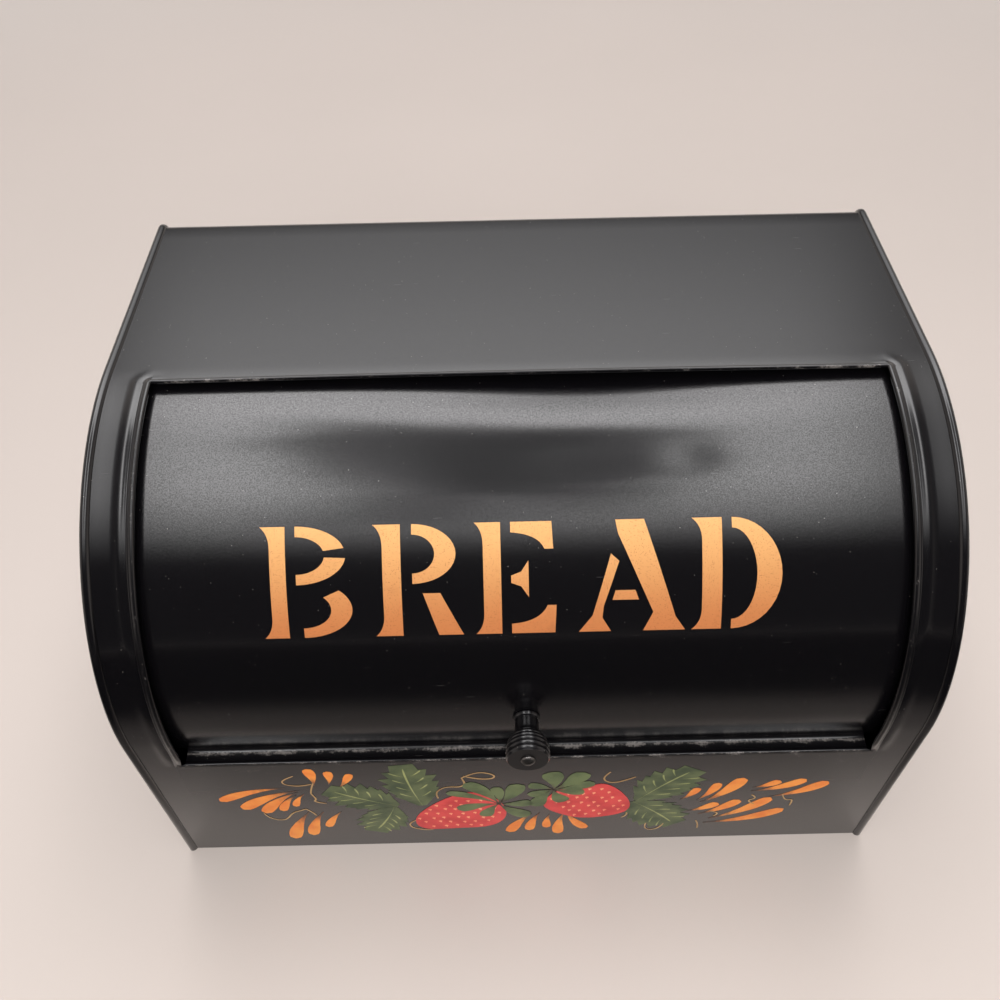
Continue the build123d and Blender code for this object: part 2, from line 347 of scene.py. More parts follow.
def math_node(tree, operation, *values, clamp=False):
    """Result of a math node on sockets or plain values."""
    node = new_node(tree, "ShaderNodeMath", {"operation": operation, "use_clamp": clamp})
    for place, value in enumerate(values):
        feed(tree, node.inputs[place], value)
    return node.outputs[0]


def times(tree, first, second):
    """Product of two sockets or values."""
    return math_node(tree, "MULTIPLY", first, second)


def plus(tree, first, second):
    """Sum of two sockets or values."""
    return math_node(tree, "ADD", first, second)


def minus(tree, first, second):
    """Difference of two sockets or values."""
    return math_node(tree, "SUBTRACT", first, second)


def larger(tree, first, second):
    """The larger of two sockets or values."""
    return math_node(tree, "MAXIMUM", first, second)


def ramp_between(tree, value, low, high):
    """0 below low, 1 above high and smooth between them."""
    smoothly = {"interpolation_type": "SMOOTHSTEP"}
    node = new_node(tree, "ShaderNodeMapRange", smoothly, Value=value, From_Min=low, From_Max=high)
    return node.outputs["Result"]


def coordinates(tree, kind="Object"):
    """Coordinates of a point as a vector."""
    return tree.nodes.new("ShaderNodeTexCoord").outputs[kind]


def split_vector(tree, vector):
    """The three parts of a vector."""
    return new_node(tree, "ShaderNodeSeparateXYZ", Vector=vector).outputs


def object_place(tree, scale=(1, 1, 1), turn=(0, 0, 0)):
    """Object coordinates, turned and stretched."""
    place = new_node(tree, "ShaderNodeMapping", Vector=coordinates(tree), Rotation=turn, Scale=scale)
    return place.outputs["Vector"]


def noise_value(tree, vector, scale, detail=2.0, roughness=0.5):
    """Noise texture with a plain or linked scale."""
    kind = "ShaderNodeTexNoise"
    node = new_node(tree, kind, Vector=vector, Scale=scale, Detail=detail, Roughness=roughness)
    return node.outputs["Fac"]


def cell_pattern(tree, vector, scale):
    """Outputs of a pattern of cells with a linked scale."""
    return new_node(tree, "ShaderNodeTexVoronoi", Vector=vector, Scale=scale).outputs


def enamel_surface_group():
    """Orange peel and slow waves of sprayed enamel, as a height, and its pitted clear coat."""
    group, given, result = shader_group(
        "enamel_surface",
        (
            ("Peel Scale", 1500.0),
            ("Peel", 0.5),
            ("Wave Scale", 28.0),
            ("Wave", 0.5),
            ("Grain Scale", 1900.0),
            ("Grain", 0.3),
        ),
        ("Height", "Coat"),
    )
    place = object_place(group)
    peel = times(group, noise_value(group, place, given["Peel Scale"], 2.0, 0.7), given["Peel"])
    wave = times(group, noise_value(group, place, given["Wave Scale"], 1.0), given["Wave"])
    feed(group, result["Height"], plus(group, peel, wave))
    pitted = ramp_between(group, noise_value(group, place, given["Grain Scale"]), 0.3, 0.66)
    missing = times(group, minus(group, 1.0, pitted), given["Grain"])
    feed(group, result["Coat"], minus(group, 1.0, missing))
    return group


def dust_group():
    """Sparse specks of dust, as a mask."""
    inputs = (("Scale", 900.0), ("Size", 0.15), ("Amount", 0.08))
    group, given, result = shader_group("dust_specks", inputs, ("Mask",))
    cells = cell_pattern(group, object_place(group), given["Scale"])
    near_middle = math_node(group, "LESS_THAN", cells["Distance"], given["Size"])
    split = new_node(group, "ShaderNodeSeparateColor", Color=cells["Color"]).outputs
    chosen = math_node(group, "LESS_THAN", split["Red"], given["Amount"])
    speck = times(group, near_middle, chosen)
    feed(group, result["Mask"], times(group, speck, split["Green"]))
    return group


def scratch_group():
    """Short straight scratches in three directions and scuffed patches, as a mask."""
    inputs = (("Scale", 14.0), ("Width", 0.026), ("Amount", 0.35))
    group, given, result = shader_group("fine_scratches", inputs, ("Mask",))
    lines = []
    for turn in ((0, 0, radians(12)), (0, radians(35), radians(-24)), (0, radians(-20), radians(68))):
        cells = cell_pattern(group, object_place(group, (1, 28, 28), turn), given["Scale"])
        lines.append(math_node(group, "LESS_THAN", cells["Distance"], given["Width"]))
    scratches = larger(group, larger(group, *lines[:2]), lines[2])
    patch = ramp_between(group, noise_value(group, object_place(group), 34.0, 1.0), 0.5, 0.66)
    grit_noise = noise_value(group, object_place(group, (1, 1.6, 1)), 900.0, 3.0, 0.8)
    grit = ramp_between(group, grit_noise, 0.6, 0.7)
    rubbed_spot = ramp_between(group, noise_value(group, object_place(group), 16.0), 0.74, 0.8)
    scuff = times(group, times(group, grit, rubbed_spot), 0.4)
    both = larger(group, times(group, scratches, patch), scuff)
    feed(group, result["Mask"], times(group, both, given["Amount"]))
    return group


def worn_and_lit_edge_group():
    """Ragged pale marks where a surface's wear and highlight attribute is high, as a mask: worn paint and
    painted highlight lines.
    """
    inputs = (("Wear", 0.0), ("Amount", 0.7))
    group, given, result = shader_group("edge_wear", inputs, ("Mask",))
    broad = times(group, noise_value(group, object_place(group), 150.0), 0.9)
    fine = times(group, noise_value(group, object_place(group), 1100.0, 2.0, 0.7), 0.9)
    reach = plus(group, given["Wear"], minus(group, plus(group, broad, fine), 0.9))
    bare_and_lit = ramp_between(group, reach, 0.78, 1.1)
    feed(group, result["Mask"], times(group, bare_and_lit, given["Amount"]))
    return group


def new_material(name):
    """Material with its Principled shader."""
    material = bpy.data.materials.new(name)
    material.use_nodes = True
    shader = material.node_tree.nodes["Principled BSDF"]
    return material, material.node_tree, shader


def placed_group(tree, group, **values):
    """Results of a shader group placed in a material with its own values."""
    return new_node(tree, "ShaderNodeGroup", {"node_tree": group}, **values).outputs


def mixed_colour(tree, factor, first, second):
    """Mix of two colours, sockets or plain values."""
    node = new_node(tree, "ShaderNodeMix", {"data_type": "RGBA"})
    for place, value in ((0, factor), (6, first), (7, second)):
        feed(tree, node.inputs[place], value)
    return node.outputs[2]


def bumped(tree, height, strength, distance):
    """Normal of a surface with a height on it."""
    bump = new_node(tree, "ShaderNodeBump", Height=height, Strength=strength, Distance=distance)
    return bump.outputs["Normal"]


def black_enamel(name, groups, roughness=0.2, dust=0.03, peel=0.3, grain=0.14, coat_ior=1.42):
    """Gloss black enamel on steel with orange peel, dust, scratches, and worn edges that also carry
    painted highlight lines.
    """
    material, tree, shader = new_material(name)
    film = placed_group(tree, groups["enamel"], Peel=peel, Grain=grain)
    specks = placed_group(tree, groups["dust"], Amount=dust)["Mask"]
    marks = placed_group(tree, groups["scratches"])["Mask"]
    wear_and_highlight_level = new_node(tree, "ShaderNodeAttribute", {"attribute_name": "wear"}).outputs["Fac"]
    wear = placed_group(tree, groups["wear"], Wear=wear_and_highlight_level)["Mask"]
    dusty = mixed_colour(tree, specks, srgb(9, 8, 10), srgb(120, 116, 110))
    scratched = mixed_colour(tree, marks, dusty, srgb(120, 116, 114))
    patches = noise_value(tree, object_place(tree), 9.0, 3.0)
    rough = plus(tree, times(tree, patches, 0.1), roughness - 0.05)
    worn_and_lit = times(tree, larger(tree, larger(tree, specks, marks), wear), 0.4)
    dull = plus(tree, times(tree, wear_and_highlight_level, 0.22), worn_and_lit)
    set_node(
        tree,
        shader,
        # Pale colour of worn edges, which also paints the highlight lines along hems, folds and rims
        Base_Color=mixed_colour(tree, wear, scratched, srgb(132, 126, 122)),
        Roughness=math_node(tree, "ADD", rough, dull, clamp=True),
        IOR=1.36,
        Coat_Weight=film["Coat"],
        Coat_IOR=coat_ior,
        Coat_Roughness=0.16,
        Normal=bumped(tree, film["Height"], 1.0, 0.06 * mm),
    )
    return material


def plated_steel(name, groups, colour, roughness):
    """Plain plated or blackened steel with fine scratches."""
    material, tree, shader = new_material(name)
    marks = placed_group(tree, groups["scratches"], Scale=60.0, Amount=0.8)["Mask"]
    patches = noise_value(tree, object_place(tree), 240.0, 3.0)
    base = srgb(*colour)
    darker = tuple(0.6 * value for value in base[:3]) + (1,)
    mottled = mixed_colour(tree, patches, darker, base)
    set_node(
        tree,
        shader,
        Base_Color=mixed_colour(tree, marks, mottled, srgb(205, 203, 200)),
        Metallic=1.0,
        Roughness=plus(tree, times(tree, patches, 0.15), roughness),
        Normal=bumped(tree, patches, 0.2, 0.05 * mm),
    )
    return material


def gold_paint(groups):
    """Bronze stencil paint with fine dark specks; copper below and pale gold above, a painted sheen of
    the light from above.
    """
    material, tree, shader = new_material("gold_paint")
    # Colour paler towards the top of the letters: painted sheen, not a change of paint
    height = split_vector(tree, coordinates(tree))["Z"]
    low = pivot_z + door_radius * sin(letter_foot / door_radius)
    high = pivot_z + door_radius * sin((letter_foot + letter_height) / door_radius)
    share = ramp_between(tree, height, low, high)
    shade = mixed_colour(tree, share, srgb(208, 130, 78), srgb(228, 171, 108))
    flecks = placed_group(tree, groups["dust"], Scale=2400.0, Size=0.4, Amount=0.3)["Mask"]
    speckled = mixed_colour(tree, flecks, shade, srgb(168, 98, 54))
    patches = noise_value(tree, object_place(tree), 55.0, 4.0)
    thin = times(tree, ramp_between(tree, patches, 0.6, 0.8), 0.35)
    grain = noise_value(tree, object_place(tree), 1400.0)
    set_node(
        tree,
        shader,
        Base_Color=mixed_colour(tree, thin, speckled, srgb(168, 102, 60)),
        Metallic=0.25,
        Roughness=plus(tree, times(tree, patches, 0.2), 0.35),
        Normal=bumped(tree, grain, 0.25, 0.04 * mm),
    )
    return material


def brush_paint(name, colour, shade, fade=0.0):
    """Hand-brushed oil paint; along a stroke it can thin out towards the tail."""
    material, tree, shader = new_material(name)
    hairs = noise_value(tree, object_place(tree, (1, 1, 0.35)), 420.0, 3.0)
    pools = noise_value(tree, object_place(tree), 90.0, 3.0)
    mixed = mixed_colour(tree, ramp_between(tree, pools, 0.35, 0.7), srgb(*colour), srgb(*shade))
    base = mixed_colour(tree, times(tree, hairs, 0.25), mixed, srgb(*shade))
    if fade > 0:
        along = split_vector(tree, tree.nodes.new("ShaderNodeUVMap").outputs["UV"])["X"]
        reach = plus(tree, along, times(tree, hairs, 0.5))
        cover = ramp_between(tree, reach, 0.25, 0.25 + fade)
        base = mixed_colour(tree, cover, srgb(64, 50, 44), base)
    set_node(
        tree,
        shader,
        Base_Color=base,
        Roughness=plus(tree, times(tree, pools, 0.2), 0.3),
        Normal=bumped(tree, hairs, 0.3, 0.04 * mm),
    )
    return material


def body_point(along, lift=0.0):
    """Place on the side outline and a height above it, from the length above the curve's foot."""
    if along < 0:
        foot_y, foot_z = polar(body_radius + lift, -front_lean)
        return (foot_y - along * sin(front_lean), foot_z + along * cos(front_lean))
    if along < curve_length:
        return polar(body_radius + lift, along / body_radius - front_lean)
    if along < top_end:
        return (pivot_y + along - curve_length, pivot_z + body_radius + lift)
    if along < back_start:
        angle = (along - top_end) / body_corner_radius
        reach = body_corner_radius + lift
        return (body_back_y - body_corner_radius + reach * sin(angle), back_start_z + reach * cos(angle))
    return (body_back_y + lift, back_start_z - (along - back_start))


def outline_places(first, last):
    """Lengths along the side outline, close together where it is curved."""
    marks = [first]
    for start, end, count in (
        (min(0.0, first), 0.0, 4),
        (0.0, curve_length, ceil(curve_length / outline_step)),
        (curve_length, top_end, 12),
        (top_end, back_start, 10),
        (back_start, last, 4),
    ):
        for place in range(count + 1):
            along = start + (end - start) * place / count
            if marks[-1] + 5 * tiny < along <= last:
                marks.append(along)
    return marks


# Section of the folded edge round the opening: distance from the edge and height over the sheet
hem_section = (
    (0.0, 0.1),
    (0.08, 0.5),
    (0.3, 0.85),
    (0.7, 1.12),
    (1.2, 1.2),
    (1.7, 1.08),
    (2.1, 0.86),
    (2.35, 0.84),
    (2.7, 0.86),
    (3.0, 0.7),
    (3.25, 0.22),
    (3.5, -0.12),
    (3.9, -0.1),
    (4.4, 0.12),
    (5.2, 0.3),
    (6.2, 0.34),
    (7.4, 0.2),
    (8.6, 0.04),
    (10.0, 0.0),
)
hem_underside = ((0.02, -0.3), (0.15, -0.75), (0.5, -1.1), (1.1, -1.2), (1.7, -0.9), (2.0, -0.5))

# Section of the fold behind the sill: length above the sill and height over the sheet
sill_fold = ((0.2, -0.1), (0.32, -0.4), (0.3, -0.7), (0.1, -1.0), (-5.0, -1.05))


def hem_height(distance):
    """Height of the folded edge at a distance from the opening."""
    for (near, low), (far, high) in zip(hem_section, hem_section[1:]):
        if near * mm <= distance <= far * mm:
            share = (distance - near * mm) / ((far - near) * mm)
            return (low + (high - low) * share) * mm
    return 0.0


def edge_height(outside, above):
    """Height of the folded edge: a broad raised band at the sides, a thin bead along the top."""
    distance = hypot(max(0.0, outside), max(0.0, above))
    side = hem_height(distance)
    bead = 0.0
    if distance < bead_width:
        bead = bead_height_share * hem_height(bead_narrowing * distance)
    if above <= 0:
        return side
    share = max(0.0, outside) / (max(0.0, outside) + above)
    return side * share + bead * (1 - share)


def wrapper_place(x, along, lift=None):
    """Place on the wrapper: folded edge, bow of the edge's top and cut-back lower corners."""
    outside = abs(x) - opening_half
    above = along - opening_top_along
    distance = max(outside, above)
    inward = max(0.0, 1 - max(0.0, distance) / relief_reach)
    shifted = along
    if above > -tiny:
        bow = max(0.0, 1 - (x / opening_half) ** 2)
        shifted += opening_bow * bow * max(0.0, 1 - above / opening_bow_reach)
    over_sill = along - sill_along
    relief = max(0.0, 1 - over_sill / relief_height) if over_sill >= -tiny else 0.0
    side = x
    if outside > -tiny:
        side += copysign(relief * relief_width * inward, x)
    if lift is None:
        lift = 0.0
        if over_sill > 0 and distance > -tiny:
            lift = edge_height(outside, above) * min(1.0, over_sill / hem_rise_length)
    y, z = body_point(shifted, lift)
    return Vector((side, y, z))


def hem_wear_and_highlight(place):
    """Wear along the folded edge round the opening, with a painted highlight line along the hem and the
    opening's top edge.
    """
    above = hypot(place.y - pivot_y, place.z - pivot_z) - body_radius
    raised = min(1.0, max(0.0, above / hem_wear_and_highlight_rise))
    beside = abs(place.x) < opening_half + hem_wear_and_highlight_beside
    by_opening = beside and place.y < hem_wear_and_highlight_back_y and place.z > sill_height - hem_wear_and_highlight_below
    worn_and_lit = hem_wear_and_highlight_most * raised if by_opening else 0.0
    from_top_edge = abs(place.y - pivot_y + body_radius * cos(opening_top_angle))
    if abs(place.x) < opening_half and above > -top_wear_and_highlight_depth:
        worn_and_lit = max(worn_and_lit, top_wear_and_highlight_most - from_top_edge / top_wear_and_highlight_reach)
    return worn_and_lit


def wrapper_skin(material):
    """The body's one sheet with its lower front, folded opening, top and rear flange."""
    sill = sill_along
    top = opening_top_along
    sill_step = 1.25 * mm
    before_opening = 1 * mm
    after_hem = 14 * mm
    steps = [distance * mm for distance, _ in hem_section]
    sides = [opening_half + step for step in steps] + [hem_flat_x, wrapper_half]
    inner = [opening_half * (2 * k / opening_columns - 1) for k in range(1, opening_columns)]
    columns = [-x for x in sides[::-1]] + inner + sides
    rows = [floor_along, 0.5 * (floor_along + sill), sill - before_opening, sill]
    rows += [sill + k * sill_step for k in range(1, 6)]
    rows += outline_places(sill + 8 * mm, top - before_opening)
    rows += [top + step for step in steps]
    rows += outline_places(top + after_hem, back_start + back_start_z - flange_end_z)
    first_open = rows.index(sill)
    last_open = rows.index(top)
    left_edge = columns.index(-opening_half)
    right_edge = columns.index(opening_half)

    def is_sheet(row, column):
        return not (first_open <= row < last_open and left_edge <= column < right_edge)

    points = [wrapper_place(x, along) for along in rows for x in columns]
    faces = grid_faces(len(rows), len(columns), 0, is_sheet)
    path = [(-opening_half, along) for along in rows[first_open:last_open]]
    path += [(x, top) for x in columns[left_edge : right_edge + 1]]
    path += [(opening_half, along) for along in rows[last_open - 1 : first_open - 1 : -1]]
    faces += grid_faces(len(path), len(hem_underside) + 1, len(points))
    for x, along in path:
        taper = min(1.0, (along - sill) / hem_rise_length)
        at_side = abs(abs(x) - opening_half) < tiny
        at_top = abs(along - top) < tiny
        points.append(wrapper_place(x, along))
        for distance, height in hem_underside:
            out = distance * mm
            place_x = x + copysign(out, x) if at_side else x
            place_along = along + out if at_top else along
            points.append(wrapper_place(place_x, place_along, height * mm * taper))
    sill_columns = columns[left_edge : right_edge + 1]
    faces += grid_faces(len(sill_columns), len(sill_fold) + 1, len(points))
    for x in sill_columns:
        edge = wrapper_place(x, sill)
        points.append(edge)
        for rise, height in sill_fold:
            points.append(Vector((edge.x, *body_point(sill + rise * mm, height * mm))))
    made = mesh_object("body_sheet_skin", points, faces)
    joined(made, Vector((0, -1, 1)))
    marked_wear_and_highlight(made, hem_wear_and_highlight)
    solid_sheet(made, sheet)
    made = settled(made, sheet_sharp_angle)
    finished(made, "box", "black_enamel", material, "body_wrapper")


def islands(mesh):
    """Groups of faces that hang together."""
    left = set(mesh.faces)
    groups = []
    while left:
        group = []
        waiting = [left.pop()]
        while waiting:
            face = waiting.pop()
            group.append(face)
            for edge in face.edges:
                for other in edge.link_faces:
                    if other in left:
                        left.remove(other)
                        waiting.append(other)
        groups.append(group)
    return groups


def without_loose_points(made):
    """Editable copy of an object's mesh, without the points that no face uses."""
    clean = bmesh.new()
    clean.from_mesh(made.data)
    loose = [point for point in clean.verts if not point.link_faces]
    bmesh.ops.delete(clean, geom=loose, context="VERTS")
    return clean


def put_back(edited, mesh):
    """Writes an edited mesh back."""
    edited.to_mesh(mesh)
    edited.free()


def joined(made, outward):
    """Joins points that lie on each other and turns each sheet's largest face to the outward side."""
    clean = without_loose_points(made)
    bmesh.ops.remove_doubles(clean, verts=clean.verts[:], dist=0.2 * tiny)
    bmesh.ops.recalc_face_normals(clean, faces=clean.faces[:])
    for group in islands(clean):
        largest = max(group, key=lambda face: face.calc_area())
        if largest.normal.dot(outward) < 0:
            bmesh.ops.reverse_faces(clean, faces=group)
    put_back(clean, made.data)


def rim_section():
    """Section of an end sheet: plate, recess wall and rolled rim, as X and height over the body sheet."""
    section = [(171.5, -5.0), (171.5, -2.2), (171.5, -1.7), (171.62, -1.3), (171.95, -1.08)]
    section += [(172.5, -1.03), (173.6, -1.03), (174.3, -1.0)]
    middle_x = 173.42
    middle_height = 0.04
    outer_reach = 1.58
    inner_reach = 2.3
    rim_height = 1.5
    steps = 16
    for step in range(steps + 1):
        angle = radians(-32 + 212 * step / steps)
        outer = cos(angle) > 0
        reach = outer_reach if outer else inner_reach
        rise = sin(angle) if outer else sin(angle) ** 1.25
        section.append((middle_x + reach * cos(angle), middle_height + rim_height * rise))
    return [(x * mm, height * mm) for x, height in section]


def rim_wear_and_highlight(place):
    """Wear along the outermost line of the rolled rims, which also paints the rims' highlight line."""
    out = abs(place.x) - rim_middle_x
    return rim_wear_and_highlight_most * min(1.0, max(0.0, out / rim_wear_and_highlight_reach))


def end_skin(side, material):
    """An end sheet: recessed plate with its edge rolled over the body sheet as a round rim."""
    section = rim_section()
    marks = outline_places(floor_along, back_start + back_start_z)
    points = []
    for along in marks:
        for x, height in section:
            y, z = body_point(along, height)
            points.append(Vector((side * x, y, max(z, 0.0))))
    faces = grid_faces(len(marks), len(section))
    faces.append(tuple(place * len(section) for place in range(len(marks))))
    faces += grid_faces(3, 2, len(points))
    front_y = body_point(floor_along, -rim_inset)[0]
    for x in (plate_outer_x, rim_middle_x, rim_outer_x):
        for y in (front_y, body_back_y - rim_inset):
            points.append(Vector((side * x, y, sheet)))
    name = "right" if side > 0 else "left"
    made = mesh_object(name + "_end_skin", points, faces)
    joined(made, Vector((side, 0, 0.5)))
    marked_wear_and_highlight(made, rim_wear_and_highlight)
    solid_sheet(made, sheet)
    made = settled(made, sheet_sharp_angle)
    finished(made, "box", "black_enamel", material, name + "_end_panel")


def marked_wear_and_highlight(made, amount):
    """Writes each point's wear and painted highlight, from a function of its place."""
    layer = made.data.attributes.new("wear", "FLOAT", "POINT")
    for vertex, value in zip(made.data.vertices, layer.data):
        value.value = amount(vertex.co)


def arc_points(centre, radius, start, end, count):
    """Points of an arc in the YZ plane, angles from +Y."""
    points = []
    for step in range(count + 1):
        angle = start + (end - start) * step / count
        points.append((centre[0] + radius * cos(angle), centre[1] + radius * sin(angle)))
    return points


def fold_middle():
    """Middle of the round fold between the door's skin and its lip."""
    fold_z = lip_top_z + fold_radius
    reach = door_radius - door_tuck + fold_radius
    return (pivot_y - sqrt(reach**2 - (fold_z - pivot_z) ** 2), fold_z)


def lip_rows():
    """Outer line of the lip: hem, rounded edge, flat and round fold, from below upwards."""
    edge = (lip_end_y + lip_roll, lip_top_z + lip_edge_rise - lip_roll)
    fold_y, fold_z = fold_middle()
    to_pivot = atan2(pivot_z - fold_z, pivot_y - fold_y)
    rows = [(lip_end_y + lip_hem_width, lip_top_z - 2 * sheet)]
    rows += arc_points(edge, lip_roll, -pi / 2, -3 * pi / 2, 10)
    rows.append((edge[0] + lip_edge_slope, lip_top_z))
    rows += arc_points((fold_y, fold_z), fold_radius, -pi / 2, to_pivot, 10)
    return rows


def skin_rows():
    """Angles of the door's curved skin above the fold."""
    start = asin((fold_middle()[1] - pivot_z) / (door_radius - door_tuck + fold_radius))
    count = ceil((door_rear_angle - start) * door_radius / skin_step)
    return [start + (door_rear_angle - start) * step / count for step in range(count + 1)]


def rear_hem_rows():
    """Inner line of the hem along the rear edge."""
    radius = door_radius + door_rear_swell
    edge = polar(radius - sheet, door_rear_angle)
    outward = pi - door_rear_angle
    rows = arc_points(edge, sheet, outward, outward - pi, 6)[1:]
    rows.append(polar(radius - 2 * sheet, door_rear_angle - rear_hem_width / door_radius))
    return rows


def column_places(half, limits):
    """Places across the door, with the ends of its lip and hem among them."""
    count = ceil(2 * half / skin_step)
    places = [-half + 2 * half * step / count for step in range(count + 1)]
    for limit in limits:
        places = [x for x in places if abs(abs(x) - limit) > column_room] + [-limit, limit]
    return sorted(places)


def lip_wear_and_highlight(place):
    """Wear of the door: high in the fold above the lip, some on the lip's edge; both pale lines are also
    painted highlights along the fold and the edge.
    """
    from_fold = hypot(place.y - fold_middle()[0], place.z - lip_top_z)
    from_edge = hypot(place.y - lip_end_y, place.z - lip_top_z)
    in_fold = fold_wear_and_highlight_most - from_fold / fold_wear_and_highlight_reach
    on_edge = lip_wear_and_highlight_most - from_edge / lip_wear_and_highlight_reach
    return max(0.0, in_fold, on_edge)


def door_skin(material):
    """The whole door sheet: lip, round fold, curved skin with its dents, and rear hem."""
    columns = column_places(door_half, (lip_half, rear_hem_half))
    rows = [(lip_half, point, None) for point in lip_rows()[:-1]]
    rows += [(door_half, None, angle) for angle in skin_rows()]
    rows += [(rear_hem_half, point, None) for point in rear_hem_rows()]
    points = []
    for _, point, angle in rows:
        for x in columns:
            points.append(Vector((x, *point)) if point else door_point(x, angle * door_radius))

    def is_sheet(row, column):
        half = min(rows[row][0], rows[row + 1][0])
        return max(abs(columns[column]), abs(columns[column + 1])) <= half + tiny

    faces = grid_faces(len(rows), len(columns), 0, is_sheet)
    made = mesh_object("door_sheet_skin", points, faces)
    put_back(without_loose_points(made), made.data)
    marked_wear_and_highlight(made, lip_wear_and_highlight)
    solid_sheet(made, rolled_sheet)
    made = settled(made)
    finished(made, "door", "black_enamel", material, "door_sheet")


def curve_through(start, control, end, count=8):
    """Points of a quadratic curve after its start."""
    points = []
    for step in range(1, count + 1):
        t = step / count
        x = (1 - t) ** 2 * start[0] + 2 * t * (1 - t) * control[0] + t * t * end[0]
        y = (1 - t) ** 2 * start[1] + 2 * t * (1 - t) * control[1] + t * t * end[1]
        points.append((x, y))
    return points


def stem(left, right, flare):
    """Upright stroke whose left side flares out in small curves at its ends."""
    top = letter_height / mm
    waist = left + flare
    points = [(left, top), (right, top), (right, 0), (left, 0)]
    points += curve_through((left, 0), (waist, flare_bend), (waist, flare_rise))
    points.append((waist, top - flare_rise))
    points += curve_through((waist, top - flare_rise), (waist, top - flare_bend), (left, top))[:-1]
    return points


def bowl(left, low, high, reach, weight, start=90.0, end=-90.0):
    """Crescent of a bowl between two half ellipses."""
    middle = (low + high) / 2
    half = (high - low) / 2
    outer = []
    inner = []
    for step in range(bowl_steps + 1):
        angle = radians(start + (end - start) * step / bowl_steps)
        outer.append((left + reach * cos(angle), middle + half * sin(angle)))
        inner_height = middle + (half - bowl_end_weight) * sin(angle)
        inner.append((left + (reach - weight) * cos(angle), inner_height))
    return outer + inner[::-1]


def letter_pieces():
    """Outlines of the stencilled word, in millimetres, from the foot of the letters."""
    top = letter_height / mm
    pieces = []
    # B
    pieces.append(stem(-105.5, -95.5, 3.6))
    pieces.append(bowl(-91.5, top - 23.5, top, 20, 8.5, 90, 14))
    pieces.append(bowl(-91.5, top - 23.5, top, 20, 8.5, -6, -90))
    pieces.append(bowl(-89.5, 0, 24, 20, 8.5, 42, -90))
    # R
    pieces.append(stem(-60.5, -49.5, 3.6))
    pieces.append(bowl(-45, top - 24, top, 17.5, 8.5))
    pieces.append([(-41, 18), (-34, 18), (-25, 0), (-35, 0)])
    # E
    pieces.append(stem(-20, -9.5, 3.4))
    arm = [(-5.5, top), (11, top), (11.5, top - 11), (8, top - 11)]
    pieces.append(arm + curve_through((8, top - 11), (5.5, top - 5), (-5.5, top - 4.2)))
    pieces.append([(-5.5, 24.5), (-1.5, 26), (1.5, 30.5), (1.5, 15.5), (-1.5, 20), (-5.5, 21.5)])
    arm = [(-5.5, 0), (12, 0), (12.5, 12), (9, 12)]
    pieces.append(arm + curve_through((9, 12), (6, 5), (-5.5, 4.2)))
    # A
    pieces.append([(36.5, top), (48, top), (60.5, 6), (64.5, 0), (47.5, 0), (51.5, 8), (37.5, 40.5)])
    pieces.append([(34.5, 32.5), (37.8, 29.5), (31.5, 11), (31, 6), (34.5, 0), (21.5, 0), (27, 7)])
    pieces.append([(36.2, 17.5), (44.2, 17.5), (45.6, 13.5), (35, 13.5)])
    # D
    pieces.append(stem(67, 79, 4))
    pieces.append(bowl(83, 0, top, 20, 10))
    return pieces


def cut_in_steps(flat, axis):
    """Cuts a flat mesh along equally spaced lines so that it can follow a curve."""
    normal = Vector((1, 0, 0)) if axis == 0 else Vector((0, 1, 0))
    places = [vertex.co[axis] for vertex in flat.verts]
    high = max(places)
    place = min(places) + paint_step
    while place < high:
        geometry = flat.verts[:] + flat.edges[:] + flat.faces[:]
        line = normal * place
        bmesh.ops.bisect_plane(flat, geom=geometry, dist=1e-7, plane_co=line, plane_no=normal)
        place += paint_step


def flat_paint(name, outlines, onto):
    """Thin layer of paint from flat outlines in millimetres, laid on a surface."""
    flat = bmesh.new()
    for outline in outlines:
        corners = [flat.verts.new((x * mm, y * mm, 0)) for x, y in outline]
        flat.faces.new(corners)
    bmesh.ops.remove_doubles(flat, verts=flat.verts[:], dist=2 * tiny)
    bmesh.ops.recalc_face_normals(flat, faces=flat.faces[:])
    for face in flat.faces:
        if face.normal.z < 0:
            face.normal_flip()
    bmesh.ops.triangulate(flat, faces=flat.faces[:], ngon_method="EAR_CLIP")
    cut_in_steps(flat, 0)
    cut_in_steps(flat, 1)
    bmesh.ops.dissolve_degenerate(flat, edges=flat.edges[:], dist=tiny)
    for vertex in flat.verts:
        vertex.co = onto(vertex.co.x, vertex.co.y)
    mesh = bpy.data.meshes.new(name)
    put_back(flat, mesh)
    made = linked(name, mesh)
    solid_sheet(made, paint_thickness, 1.0)
    return settled(made, radians(60))


def door_letters(material):
    """The stencilled word on the door."""

    def onto_door(x, height):
        return door_point(x, letter_foot + height, paint_lift)

    made = flat_paint("stencilled_word", letter_pieces(), onto_door)
    finished(made, "door", "black_enamel", material)


def kept_value(tree, name, geometry, value):
    """Keeps a value on a curve's points: the curve and the kept value."""
    keep = tree.nodes.new("GeometryNodeCaptureAttribute")
    keep.capture_items.new("FLOAT", name)
    feed(tree, keep.inputs["Geometry"], geometry)
    feed(tree, keep.inputs[name], value)
    return keep.outputs["Geometry"], keep.outputs[name]


